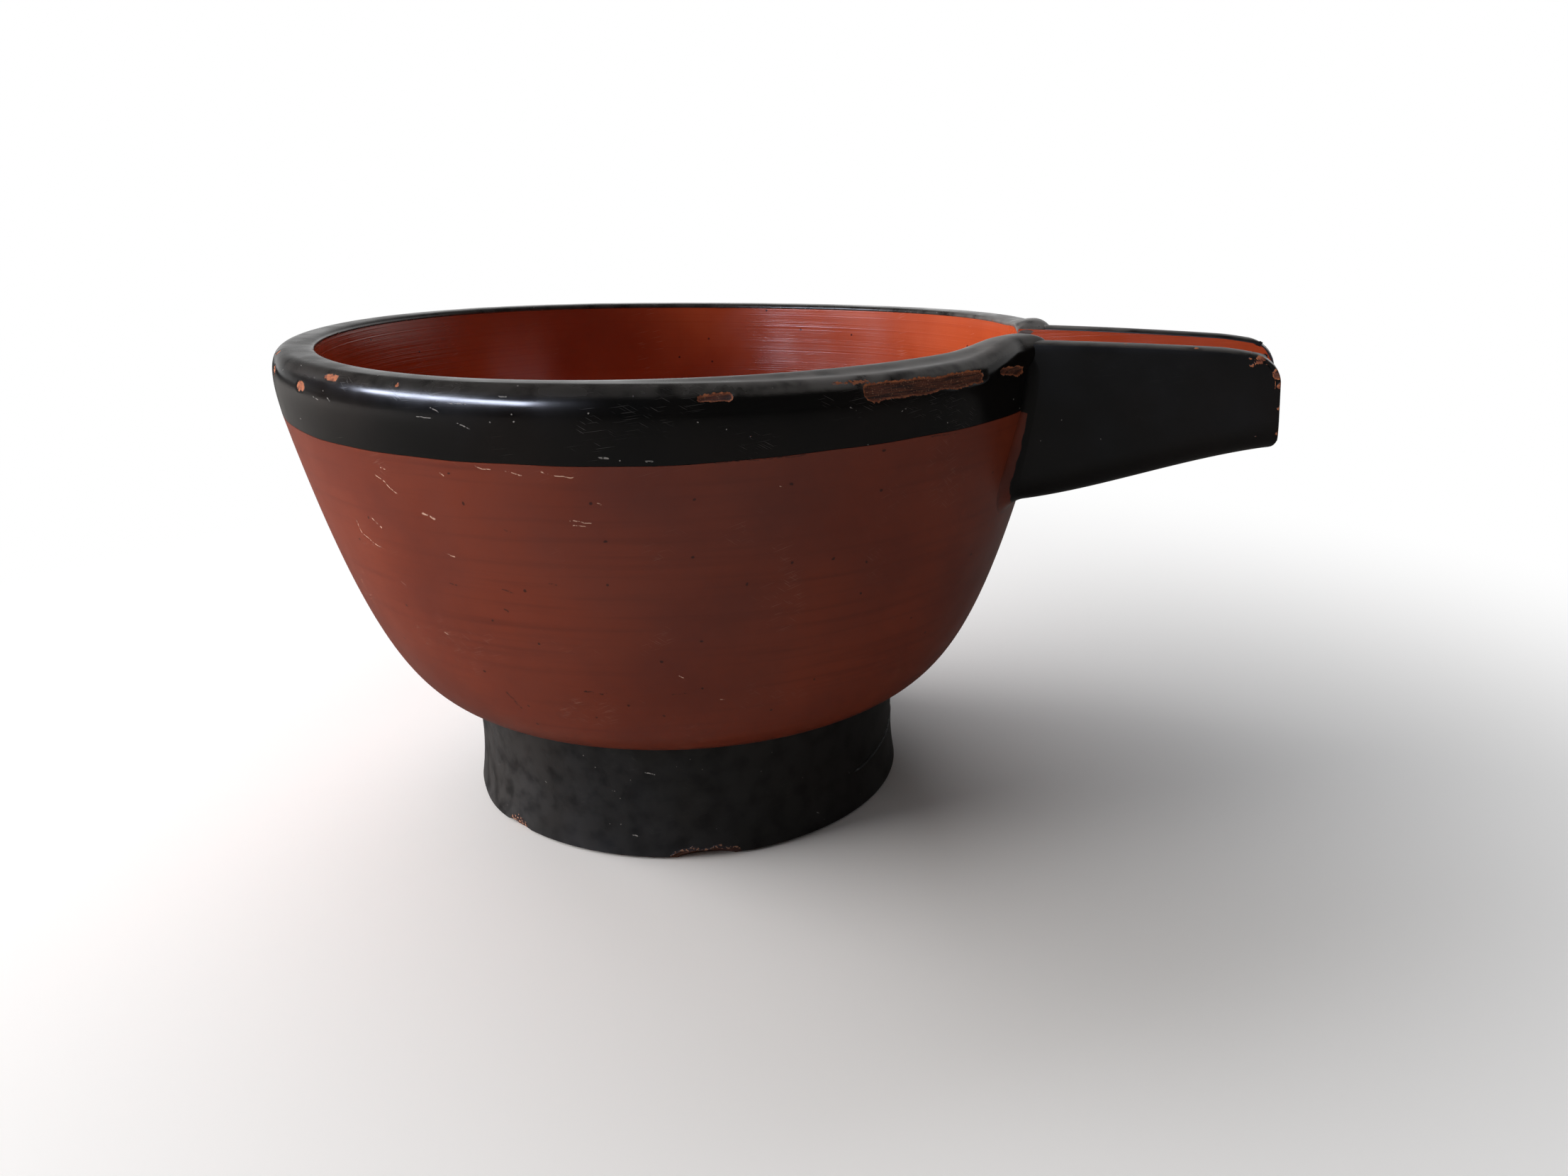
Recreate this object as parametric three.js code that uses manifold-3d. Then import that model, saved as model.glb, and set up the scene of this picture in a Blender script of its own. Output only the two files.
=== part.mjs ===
// A spouted bowl of lacquered wood for pouring sake. A turned bowl stands on a turned foot ring, a carved
// trough is pinned to its wall as the spout, and coats of ground and lacquer cover the wood.
// Millimetres, +Z up. The spout points along +X, and the origin is under the middle of the whole length.
import * as THREE from "three";
import { mergeVertices } from "three/addons/utils/BufferGeometryUtils.js";
import Module from "manifold-3d";

const wasm = await Module();
wasm.setup();

// Fits and coats
const clearance = 0.3; // between two pieces that touch
const coat = 1.0; // ground and lacquer on the bowl and foot
const spoutCoat = 0.8; // the same on the spout

// Foot ring, over the lacquer
const footHeight = 39.2;
const footTopRadius = 76.6;
const footWaistInset = 1.5; // half way up, against a straight side
const footFlare = 0.6; // the standing edge, out from the top
const footWall = 9;
const footEdge = 0.8; // the coats stop this far above the ground, where the edge is worn to the wood
const ceilingRound = 3;
const tongueHeight = 5; // the ring's tongue in the groove under the bowl
const tongueThickness = 3;

// Bowl, over the lacquer
const rimRadius = 125; // widest reach of the rolled rim
const rimHeight = 157.1; // crest of the rim
const rimSaddle = 1.25; // rise of the rim before and behind, and its fall at the sides
const rimDip = 1.7; // hollow worn and warped into one side of the rim
const rimDipAzimuth = -36;
const rimDipSpread = 46;
const rimRoll = 5.5; // from the widest reach in to the crest
const bandDepth = 18.6; // height of the black band under the crest
const bandInset = 0.9; // the wall at the band's lower edge, in from the widest reach
const rimThickness = 12.3;
const lipDrop = 1.7; // where the black gives way to the vermilion, below the crest
const floorThickness = 11.8;
const bellyReach = 16.4; // how far the belly runs out over the foot before it turns up
const bellyRise = 5;
const flankInset = 17.6; // the flank's lower handle, in from the band
const flankRise = 13.4;
const hollowInset = 9; // the inner wall's handles, in from the lip and up from the floor
const hollowRise = 10;
const hollowTurn = 13;

// Noses, where the rolled rim ends on each side of the spout
const noseLength = 10;
const noseSwellLength = 26;
const noseTaper = 0.35;
// The rim rises towards its ends, falls again to the edge of the spout, and one end runs on along it
const rightNose = { swell: 3.4, drop: 2, reach: 6.5 };
const leftNose = { swell: 2.4, drop: 4.2, reach: 0 };

// Spout, over the lacquer
const spoutReach = 64.2; // beyond the rim
const spoutRootWidth = 53.8;
const spoutTipWidth = 43.6;
const spoutRootDepth = 47.8;
const spoutTipDepth = 25.2;
const spoutLift = 1.1; // its edge at the root, above the crest of the rim
const spoutDroop = 2.6; // fall of its edge from root to tip
const spoutWall = 6.3;
const spoutFloor = 7;
const spoutEdgeRound = 2.6;
const spoutFlare = 3; // its sides draw in this much from edge to keel at the root
const keelRound = 9; // outer corners of its section
const channelRound = 7; // inner corners
const keelRootSlope = 0.17;
const keelTipSlope = 0.18;
const keelHandle = 24;
const tipTopRound = 6.5; // corners of the tip, seen from the side
const tipKeelRound = 3;
const tipLean = 2.6;
const filletSize = 5; // lacquer filler in the corner round the joint, under the keel
const filletTop = 2.2; // the same at its upper ends
const fillerDrop = 13; // it stops this far under the spout's edge
const fillerHollow = 0.3; // how full its hollow face is

// Bamboo pins, from the end of the spout into the wall of the bowl
const pinDiameter = 2.2;
const pinLength = 10;
const cheekPinHeights = [16, 34]; // in each wall of the spout, over its underside at the root
const floorPinSpacing = 16;

// Chips knocked out of the rim's black coat: azimuths in degrees, depth below the crest and height
const rimChips = [
  { from: -43, to: -25.5, below: [4.6, 3.4], height: [6, 3] },
  { from: -18.6, to: -14.4, below: [5.8, 5.8], height: [3.6, 3.2] },
  { from: -62, to: -58.6, below: [3.2, 2.9], height: [2.4, 2.6] },
  { from: -117.9, to: -116.7, below: [6.1, 6.1], height: [3.8, 3.8] },
  { from: -111.2, to: -109.4, below: [2.8, 2.5], height: [2, 2] },
];
const chipCut = 1.28;
const chipStep = 4;

// Break in the foot ring's standing edge
const notchAzimuth = -61.8;
const notchLength = 22;
const notchHeight = 2.2;
const notchReach = 4;

// Steps of the curved faces
const mouthSteps = 2;
const noseSteps = 4;
const swellSteps = 3;
const backSteps = 19;
const wallSteps = 8;
const rollSteps = 5;
const lipSteps = 3;
const footSteps = 3;
const spoutSteps = 8;
const cornerSteps = 3;
const fillerSteps = 4;
const pinSides = 10;

const cutterReach = 60; // cutters run on this far past what they cut

// Sizes that follow
const footBaseRadius = footTopRadius + footFlare;
const bandHeight = rimHeight - bandDepth;
const bandRadius = rimRadius - bandInset;
const lipRadius = rimRadius - rimThickness;
const lipHeight = rimHeight - lipDrop;
const bowlFloor = footHeight + floorThickness;
const footInnerRadius = footTopRadius - footWall;
const coreDepth = coat + clearance; // from the finished face to the wood
const spoutCoreDepth = spoutCoat + clearance;
const spoutTop = rimHeight + spoutLift;
const spoutTip = rimRadius + spoutReach;
const mouthHalf = spoutRootWidth / 2 - spoutWall;
const liningDrop = spoutEdgeRound + clearance; // the vermilion stops under the rounded edge
const rollMiddle = (rimRadius + lipRadius) / 2;

// Manifold solids and three.js geometries
function solidOf(geometry) {
  const plain = geometry.index ? geometry.toNonIndexed() : geometry.clone();
  plain.deleteAttribute("normal");
  plain.deleteAttribute("uv");
  const merged = mergeVertices(plain, 1e-4);
  return new wasm.Manifold(
    new wasm.Mesh({
      numProp: 3,
      vertProperties: merged.attributes.position.array,
      triVerts: new Uint32Array(merged.index.array),
    }),
  );
}

function geometryOf(solid) {
  const mesh = solid.getMesh();
  const geometry = new THREE.BufferGeometry();
  geometry.setAttribute("position", new THREE.BufferAttribute(mesh.vertProperties, 3));
  geometry.setIndex(new THREE.BufferAttribute(mesh.triVerts, 1));
  return geometry;
}

// Profiles, as points of radius and height
const v2 = (r, z) => new THREE.Vector2(r, z);

function bezier(from, handle, handleEnd, to, steps) {
  return new THREE.CubicBezierCurve(from, handle, handleEnd, to).getPoints(steps);
}

// The finished face, from the foot up the outside, over the rim and down the inside to the axis
const outerFace = bezier(
  v2(footTopRadius, footHeight),
  v2(footTopRadius + bellyReach, footHeight + bellyRise),
  v2(bandRadius - flankInset, footHeight + flankRise),
  v2(bandRadius, bandHeight),
  wallSteps,
);
const crest = v2(rimRadius - rimRoll, rimHeight);
const rimFace = [
  ...bezier(
    v2(bandRadius, bandHeight),
    v2(rimRadius + bandInset / 2, bandHeight + bandDepth / 2),
    v2(rimRadius + rimRoll / 4, rimHeight),
    crest,
    rollSteps,
  ),
  ...bezier(
    crest,
    v2(lipRadius + rimThickness / 20, rimHeight + lipDrop / 8),
    v2(lipRadius - rimThickness / 50, rimHeight - lipDrop / 4),
    v2(lipRadius, lipHeight),
    lipSteps,
  ).slice(1),
];
const innerFace = bezier(
  v2(lipRadius, lipHeight),
  v2(lipRadius - hollowInset, bowlFloor + hollowRise),
  v2(lipRadius - hollowTurn, bowlFloor),
  v2(0, bowlFloor),
  wallSteps,
);

const outside = [...outerFace, ...rimFace.slice(1, rollSteps + 1)];

function radiusAt(face, height) {
  const next = THREE.MathUtils.clamp(face.findIndex((point) => point.y > height), 1, face.length - 1);
  const [a, b] = [face[next - 1], face[next]];
  return THREE.MathUtils.mapLinear(height, a.y, b.y, a.x, b.x);
}

// A face moved into the wood by a depth, square to itself. A point on the axis stays on it.
function sunk(face, depth) {
  return face.map((point, i) => {
    const before = face[Math.max(i - 1, 0)];
    const after = face[Math.min(i + 1, face.length - 1)];
    const along = after.clone().sub(before).normalize();
    const moved = v2(point.x - along.y * depth, point.y + along.x * depth);
    return point.x === 0 ? v2(0, moved.y) : moved;
  });
}

// The same face, shortened at its ends by a clearance
function shortened(face, fromStart, fromEnd) {
  const cut = face.map((point) => point.clone());
  const last = cut.length - 1;
  cut[0].add(cut[1].clone().sub(cut[0]).setLength(fromStart));
  if (fromEnd) cut[last].add(cut[last - 1].clone().sub(cut[last]).setLength(fromEnd));
  return cut;
}

// The closed section of a coat under a face
function coatSection(face, fromStart, fromEnd) {
  const cut = shortened(face, fromStart, fromEnd);
  return [...cut, ...sunk(cut, coat).reverse()];
}

// Turned solids
// The steps round the axis are close together at the noses of the rim and wide at the back
const azimuths = (() => {
  const mouth = Math.asin(mouthHalf / rollMiddle);
  const nose = Math.asin((mouthHalf + noseLength) / rollMiddle);
  const swell = Math.asin((mouthHalf + noseLength / 2 + noseSwellLength) / rollMiddle);
  const bounds = [0, mouth, nose, swell, Math.PI];
  const counts = [mouthSteps, noseSteps, swellSteps, backSteps];
  const half = counts.flatMap((count, zone) =>
    Array.from({ length: count }, (_, i) => THREE.MathUtils.lerp(bounds[zone], bounds[zone + 1], i / count)),
  );
  return [...half, Math.PI, ...half.slice(1).reverse().map((angle) => 2 * Math.PI - angle)];
})();

// One at zero, falling smoothly to nothing at one
const hump = (share) => 0.5 + 0.5 * Math.cos(Math.PI * Math.min(share, 1));

// How the old wood has moved, and how the rim ends at the mouth of the spout
function settled(radius, azimuth, height) {
  const fromMouth = Math.abs(rollMiddle * Math.sin(azimuth)) - mouthHalf;
  const faces = Math.cos(azimuth) > 0;
  const onWall = THREE.MathUtils.smoothstep(radius, 0, lipRadius - rimThickness);
  const onRim = THREE.MathUtils.smoothstep(height, bandHeight, rimHeight) * onWall;
  let r = radius;
  let z = height;
  if (faces && onRim > 0) {
    const end = THREE.MathUtils.clamp(1 - fromMouth / noseLength, 0, 1);
    const rounding = 1 - Math.sqrt(1 - 0.95 * end * end);
    const away = THREE.MathUtils.clamp((fromMouth - noseLength / 2) / noseSwellLength, 0, 1);
    const nose = azimuth > Math.PI ? rightNose : leftNose;
    r -= (radius - rollMiddle) * noseTaper * rounding * onRim;
    const onRoll = THREE.MathUtils.smoothstep(height, rimHeight - 2 * rimRoll, rimHeight - rimRoll / 2);
    const onOutside = THREE.MathUtils.smoothstep(radius, lipRadius, rimRadius);
    r += nose.reach * rounding * onRoll * onOutside;
    z += (nose.swell * hump(away) - nose.drop * rounding) * onRim;
  }
  const fromDip = Math.acos(Math.cos(azimuth - THREE.MathUtils.degToRad(rimDipAzimuth)));
  z -= rimDip * hump(fromDip / THREE.MathUtils.degToRad(rimDipSpread)) * onRim;
  const rise = THREE.MathUtils.clamp((height - footHeight) / (bandHeight - footHeight), 0, 1);
  z += rimSaddle * Math.cos(2 * azimuth) * rise * rise * (radius / rimRadius);
  return [r * Math.cos(azimuth), r * Math.sin(azimuth), z];
}

// A profile turned round the axis. It runs anticlockwise, and closes on itself or on the axis.
function turned(profile, closed) {
  const loop = closed ? [...profile, profile[0].clone()] : profile;
  const geometry = new THREE.LatheGeometry(loop, azimuths.length);
  const position = geometry.attributes.position;
  for (let i = 0; i < position.count; i++) {
    const point = loop[i % loop.length];
    const azimuth = azimuths[Math.floor(i / loop.length) % azimuths.length];
    position.setXYZ(i, ...settled(point.x, azimuth, point.y));
  }
  return solidOf(geometry);
}

// All that lies inside the outer face, sunk by a depth, as a cutter that runs on up above the rim
function insideOuterFace(depth) {
  const face = sunk(outside, depth);
  const low = footHeight - cutterReach;
  const high = rimHeight + cutterReach;
  return turned([v2(0, low), v2(face[0].x, low), ...face, v2(face.at(-1).x, high), v2(0, high)], false);
}

// The hollow of the bowl, sunk by a depth into its wall, as a cutter
function insideInnerFace(depth) {
  const face = sunk(innerFace, depth).reverse();
  const high = rimHeight + cutterReach;
  return turned([...face, v2(face.at(-1).x, high), v2(0, high)], false);
}

// The spout is a trough. Its section changes with the distance from the bowl's axis.
const spoutRoot = radiusAt(outerFace, spoutTop - spoutRootDepth);
const along = (x) => (x - spoutRoot) / (spoutTip - spoutRoot);
const halfWidth = (x) => THREE.MathUtils.lerp(spoutRootWidth, spoutTipWidth, along(x)) / 2;
const drawnIn = (drop) => (spoutFlare * drop) / spoutRootDepth; // of its sides, at a drop below the edge
const edgeHeight = (x) => spoutTop - spoutDroop * Math.max(along(x), 0) ** 2;

const rootKeel = spoutTop - spoutRootDepth;
const tipKeel = spoutTop - spoutDroop - spoutTipDepth;
const keelPoints = bezier(
  v2(spoutRoot, rootKeel),
  v2(spoutRoot + keelHandle, rootKeel + keelHandle * keelRootSlope),
  v2(spoutTip - keelHandle, tipKeel - keelHandle * keelTipSlope),
  v2(spoutTip, tipKeel),
  40,
);

function keelHeight(x) {
  if (x <= spoutRoot) return rootKeel;
  const next = Math.max(keelPoints.findIndex((point) => point.x >= x), 1);
  const [a, b] = [keelPoints[next - 1], keelPoints[next]];
  return x >= spoutTip ? tipKeel : THREE.MathUtils.mapLinear(x, a.x, b.x, a.y, b.y);
}

function corner(y, z, radius, from, to) {
  return Array.from({ length: cornerSteps + 1 }, (_, i) => {
    const angle = THREE.MathUtils.degToRad(THREE.MathUtils.lerp(from, to, i / cornerSteps));
    return [y + radius * Math.cos(angle), z + radius * Math.sin(angle)];
  });
}

const otherSide = (points) => points.map(([y, z]) => [-y, z]);

// Half outlines, from under the edge down the side and round to the bottom
function halfOutline(x, half, low, round) {
  const edge = edgeHeight(x);
  const side = half - drawnIn(edge - low - round);
  return [[half, edge - spoutEdgeRound], ...corner(side - round, low + round, round, 0, -90)];
}

function outerOutline(x, depth) {
  return halfOutline(x, halfWidth(x) - depth, keelHeight(x) + depth, keelRound - depth);
}

function channelOutline(x, depth) {
  const low = keelHeight(x) + spoutFloor - depth;
  return halfOutline(x, halfWidth(x) - spoutWall + depth, low, channelRound + depth);
}

// The section between two half outlines, whose walls end in a rounded edge at a height
function wallSection(outer, inner, edge) {
  const [[outerSide], [innerSide]] = [outer[0], inner[0]];
  const round = Math.min(spoutEdgeRound, (outerSide - innerSide) / 2 - 0.02);
  const channel = inner.slice(1);
  const side = [
    ...corner(innerSide + round, edge - round, round, 180, 90),
    ...corner(outerSide - round, edge - round, round, 90, 0),
    ...outer.slice(1),
  ];
  return [...side, ...otherSide(side).reverse(), ...otherSide(channel), ...channel.reverse()];
}

// The section inside a half outline, filled to well above the rim
function filledSection(outline) {
  const side = [[outline[0][0], rimHeight + cutterReach], ...outline];
  return [...side, ...otherSide(side).reverse()];
}

// A solid through sections that stand square to the X axis
const loftFrom = lipRadius - 3 * floorThickness; // well inside the wall
function lofted(sectionAt, to) {
  const loops = Array.from({ length: spoutSteps + 1 }, (_, i) => {
    const x = THREE.MathUtils.lerp(loftFrom, to, i / spoutSteps);
    return sectionAt(x).reverse().map(([y, z]) => new THREE.Vector3(x, y, z));
  });
  const count = loops[0].length;
  const last = (loops.length - 1) * count;
  const triangles = [];
  const flat = (loop) => loop.map((point) => v2(point.y, point.z));
  for (const [a, b, c] of THREE.ShapeUtils.triangulateShape(flat(loops[0]), [])) triangles.push(a, c, b);
  for (const [a, b, c] of THREE.ShapeUtils.triangulateShape(flat(loops.at(-1)), [])) {
    triangles.push(last + a, last + b, last + c);
  }
  for (let i = 0; i < last; i += count) {
    for (let j = 0; j < count; j++) {
      const [a, b] = [i + j, i + ((j + 1) % count)];
      triangles.push(a, b, b + count, a, b + count, a + count);
    }
  }
  return solidOf(new THREE.BufferGeometry().setFromPoints(loops.flat()).setIndex(triangles));
}

// The tip as it is seen from the side, sunk by a depth, extruded across the spout to trim it
function tipTrim(depth) {
  const end = spoutTip - depth;
  const topFrom = end - tipLean - tipTopRound;
  const keelFrom = end - tipKeelRound;
  const high = edgeHeight(topFrom) - depth;
  const low = keelHeight(keelFrom) + depth;
  const shape = new THREE.Shape();
  shape.moveTo(loftFrom - clearance, low - cutterReach);
  shape.lineTo(keelFrom, low - cutterReach);
  shape.lineTo(keelFrom, low);
  shape.quadraticCurveTo(end - tipKeelRound / 6, low, end, low + tipKeelRound);
  shape.lineTo(end - tipLean / 2, high - tipTopRound);
  shape.quadraticCurveTo(end - tipLean, high - tipTopRound / 6, topFrom, high);
  shape.lineTo(topFrom, high + cutterReach);
  shape.lineTo(loftFrom - clearance, high + cutterReach);
  shape.closePath();
  const across = spoutRootWidth + cutterReach;
  const geometry = new THREE.ExtrudeGeometry(shape, { depth: across, bevelEnabled: false, curveSegments: 5 });
  return solidOf(geometry.rotateX(Math.PI / 2).translate(0, across / 2, 0));
}

// The trough with its outer face, its channel, its edge and its tip each sunk by a depth
function trough(outer, inner, edge, tip) {
  const section = (x) => wallSection(outerOutline(x, outer), channelOutline(x, inner), edgeHeight(x) - edge);
  return lofted(section, spoutTip).intersect(tipTrim(tip));
}

const channelCutter = (depth) => lofted((x) => filledSection(channelOutline(x, depth)), spoutTip + clearance);

// The lining of the channel, between two depths, up to a height under the edge
function liningSolid(from, to, under, tip) {
  const section = (x) => {
    const top = edgeHeight(x) - under;
    const [outer, inner] = [channelOutline(x, to), channelOutline(x, from)];
    const side = [[inner[0][0], top], [outer[0][0], top], ...outer.slice(1)];
    const channel = inner.slice(1);
    return [...side, ...otherSide(side).reverse(), ...otherSide(channel), ...channel.reverse()];
  };
  return lofted(section, spoutTip).intersect(tipTrim(tip));
}

// Where the outer face of the bowl lies at a place across and up
function surfaceX(y, z) {
  let x = radiusAt(outside, z);
  for (let i = 0; i < 3; i++) {
    const rise = THREE.MathUtils.clamp((z - footHeight) / (bandHeight - footHeight), 0, 1);
    const radius = radiusAt(outside, z - rimSaddle * Math.cos(2 * Math.atan2(y, x)) * rise * rise);
    x = Math.sqrt(radius ** 2 - y ** 2);
  }
  return x;
}

// Pins
const cheekMiddle = (height) => (spoutRootWidth - spoutWall) / 2 - drawnIn(spoutRootDepth - height);
const pinPlaces = [
  ...cheekPinHeights.flatMap((height) => [-1, 1].map((side) => [side * cheekMiddle(height), height])),
  [-floorPinSpacing / 2, spoutFloor / 2],
  [floorPinSpacing / 2, spoutFloor / 2],
].map(([y, height]) => [surfaceX(y, rootKeel + height) - coreDepth, y, rootKeel + height]);

function pinGeometry([x, y, z], grown) {
  const radius = pinDiameter / 2 + grown;
  const pin = new THREE.CylinderGeometry(radius, radius, pinLength + 2 * grown, pinSides);
  return pin.rotateZ(Math.PI / 2).translate(x, y, z);
}

// Bowl and foot ring, in wood
const seatRadius = footTopRadius - coreDepth;
const ringInner = footInnerRadius + coreDepth;
const tongueMiddle = (seatRadius + ringInner) / 2;

function makeBowlCore() {
  const groove = tongueThickness / 2 + clearance;
  const grooveTop = footHeight + tongueHeight;
  const profile = [
    v2(0, footHeight),
    v2(tongueMiddle - groove, footHeight),
    v2(tongueMiddle - groove, grooveTop),
    v2(tongueMiddle + groove, grooveTop),
    v2(tongueMiddle + groove, footHeight),
    v2(seatRadius, footHeight),
    ...sunk([...outerFace, ...rimFace.slice(1), ...innerFace.slice(1)], coreDepth),
  ];
  const holes = pinPlaces.map((place) => solidOf(pinGeometry(place, clearance)));
  return holes.reduce((left, hole) => left.subtract(hole), turned(profile, false).subtract(channelCutter(spoutCoreDepth)));
}

// The break in the standing edge of the foot
function notchSolid() {
  const ball = new THREE.SphereGeometry(1, 16, 8);
  ball.scale(notchReach, notchLength / 2, notchHeight);
  ball.rotateZ(THREE.MathUtils.degToRad(notchAzimuth));
  const angle = THREE.MathUtils.degToRad(notchAzimuth);
  ball.translate(footBaseRadius * Math.cos(angle), footBaseRadius * Math.sin(angle), 0);
  return solidOf(ball);
}

// The outside of the foot, from the standing edge up
const footFace = new THREE.QuadraticBezierCurve(
  v2(footBaseRadius, footEdge),
  v2((footBaseRadius + footTopRadius) / 2 - 2 * footWaistInset, footHeight / 2),
  v2(footTopRadius, footHeight - clearance),
).getPoints(footSteps);

function makeFootRing() {
  const tongueTop = footHeight + tongueHeight - clearance;
  const profile = [
    v2(ringInner, 0),
    v2(footBaseRadius - coreDepth, 0),
    ...sunk(footFace, coreDepth),
    v2(tongueMiddle + tongueThickness / 2, footHeight - clearance),
    v2(tongueMiddle + tongueThickness / 2, tongueTop),
    v2(tongueMiddle - tongueThickness / 2, tongueTop),
    v2(tongueMiddle - tongueThickness / 2, footHeight - clearance),
    v2(ringInner, footHeight - clearance),
  ];
  return turned(profile, true).subtract(notchSolid());
}

// Spout, in wood
function makeSpoutCore() {
  const bare = trough(spoutCoreDepth, spoutCoreDepth, spoutCoreDepth, spoutCoreDepth);
  const holes = pinPlaces.map((place) => solidOf(pinGeometry(place, clearance)));
  return holes.reduce((left, hole) => left.subtract(hole), bare.subtract(insideOuterFace(coreDepth - clearance)));
}

// Filler in the corner between spout and bowl, hollow-faced, under the spout and up both its sides
function makeJointFiller() {
  const jointPoint = (x, out, i) => {
    const edge = edgeHeight(x);
    const low = keelHeight(x);
    const bendTop = low + keelRound;
    const flat = halfWidth(x) - drawnIn(edge - bendTop) - keelRound;
    const wall = Array.from({ length: fillerSteps }, (_, k) => {
      const height = THREE.MathUtils.lerp(spoutTop - fillerDrop, bendTop, k / fillerSteps);
      return [halfWidth(x) - drawnIn(edge - height) + out, height];
    });
    const bend = corner(flat, bendTop, keelRound + out, 0, -90);
    const under = Array.from({ length: fillerSteps - 1 }, (_, k) => [
      flat * (1 - (k + 1) / fillerSteps),
      low - out,
    ]);
    const side = [...wall, ...bend, ...under];
    return [...side, [0, low - out], ...otherSide(side).reverse()][i];
  };
  const count = 2 * (fillerSteps + cornerSteps + fillerSteps) + 1;
  const rings = Array.from({ length: count }, (_, i) => {
    const start = jointPoint(spoutRoot, 0, i);
    const up = THREE.MathUtils.clamp((start[1] - rootKeel) / (spoutRootDepth - fillerDrop), 0, 1);
    const size = THREE.MathUtils.lerp(filletSize, filletTop, up);
    const x = surfaceX(...start);
    const onBowl = (out, lift) => {
      const [y, z] = jointPoint(x, out, i);
      return new THREE.Vector3(surfaceX(y, z) + lift, y, z);
    };
    const hollow = clearance + size * fillerHollow;
    const [y, z] = jointPoint(x + size, clearance, i);
    return [
      onBowl(clearance, clearance),
      onBowl(size, clearance),
      onBowl(hollow, hollow),
      new THREE.Vector3(x + size, y, z),
    ];
  });
  const last = (count - 1) * 4;
  const triangles = [0, 2, 1, 0, 3, 2, last, last + 1, last + 2, last, last + 2, last + 3];
  for (let i = 0; i < last; i += 4) {
    for (let j = 0; j < 4; j++) {
      const [a, b] = [i + j, i + ((j + 1) % 4)];
      triangles.push(a, b, b + 4, a, b + 4, a + 4);
    }
  }
  return solidOf(new THREE.BufferGeometry().setFromPoints(rings.flat()).setIndex(triangles));
}

// Coats on the bowl
const sleeve = () => trough(spoutCoat, spoutCoat, spoutCoat, -cutterReach);
const spoutSleeve = () => sleeve().add(channelCutter(spoutCoat + clearance));

function makeOuterRed() {
  return turned(coatSection(outerFace, clearance, clearance / 2), true).subtract(spoutSleeve());
}

// A chip is a row of shallow cuts along the rim
function chipCuts({ from, to, below, height }) {
  const length = THREE.MathUtils.degToRad(to - from) * rimRadius;
  const count = Math.ceil(length / chipStep);
  return Array.from({ length: count }, (_, i) => {
    const share = (i + 0.5) / count;
    const angle = THREE.MathUtils.degToRad(THREE.MathUtils.lerp(from, to, share));
    const level = rimHeight - THREE.MathUtils.lerp(...below, share);
    const ball = new THREE.SphereGeometry(1, 12, 6);
    ball.scale(chipCut, length / count, THREE.MathUtils.lerp(...height, share) / 2);
    ball.rotateZ(angle);
    ball.translate(...settled(radiusAt(outside, level) - clearance, angle, level));
    return solidOf(ball);
  });
}

// The black coat goes over the rolled rim, and closes its ends at the mouth of the spout
function makeRimBlack() {
  const over = turned(coatSection(rimFace, clearance / 2, clearance / 2), true).subtract(channelCutter(0));
  const low = spoutTop - liningDrop + clearance;
  const filled = [v2(lipRadius + clearance, low), ...rimFace.filter((point) => point.y > low)];
  filled.splice(1, 0, v2(radiusAt(outside, low), low));
  const ends = turned(filled, true).intersect(channelCutter(coat)).subtract(channelCutter(0));
  const mouth = liningSolid(-coat, spoutCoat + clearance, liningDrop - clearance, -cutterReach);
  const whole = over.add(ends).subtract(mouth).subtract(sleeve());
  return rimChips.flatMap(chipCuts).reduce((left, cut) => left.subtract(cut), whole);
}

function makeInnerVermilion() {
  const face = shortened(innerFace, clearance / 2, 0);
  const under = sunk(face, coat);
  under[0].x -= clearance; // the coat thins at the lip
  return turned([...under.reverse(), ...face], false).subtract(channelCutter(spoutCoat + clearance));
}

function makeFootBlack() {
  return turned([...footFace, ...sunk(footFace, coat).reverse()], true).subtract(notchSolid());
}

// The black coat inside the foot and over the underside of the bowl
function makeUndersideBlack() {
  const ceiling = footHeight - coreDepth;
  const profile = [
    v2(0, ceiling),
    v2(footInnerRadius - ceilingRound, ceiling),
    v2(footInnerRadius - ceilingRound / 4, ceiling - ceilingRound / 4),
    v2(footInnerRadius, ceiling - ceilingRound),
    v2(footInnerRadius, footEdge),
    v2(footInnerRadius + coat, footEdge),
    v2(footInnerRadius + coat, ceiling + coat),
    v2(0, ceiling + coat),
  ];
  return turned(profile, false);
}

// Coats on the spout
function makeSpoutBlack() {
  return trough(0, 0, 0, 0)
    .subtract(trough(spoutCoat, spoutCoat, spoutCoat, spoutCoat))
    .subtract(liningSolid(-coat, spoutCoat + clearance / 3, liningDrop - clearance, spoutCoat))
    .subtract(insideOuterFace(-clearance));
}

function makeSpoutVermilion() {
  return liningSolid(0, spoutCoat, liningDrop, spoutCoreDepth).subtract(insideInnerFace(0));
}

// Materials, in the colours of the old lacquer
const woodFinish = { color: "#8a5a36", roughness: 0.8, metalness: 0 };
const blackFinish = { color: "#17120f", roughness: 0.3, metalness: 0 };
const redFinish = { color: "#7c2f1c", roughness: 0.3, metalness: 0 };
const vermilionFinish = { color: "#b4391b", roughness: 0.25, metalness: 0 };
const bambooFinish = { color: "#b99a5e", roughness: 0.7, metalness: 0 };
const fillerFinish = { color: "#1d1512", roughness: 0.45, metalness: 0 };

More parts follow.
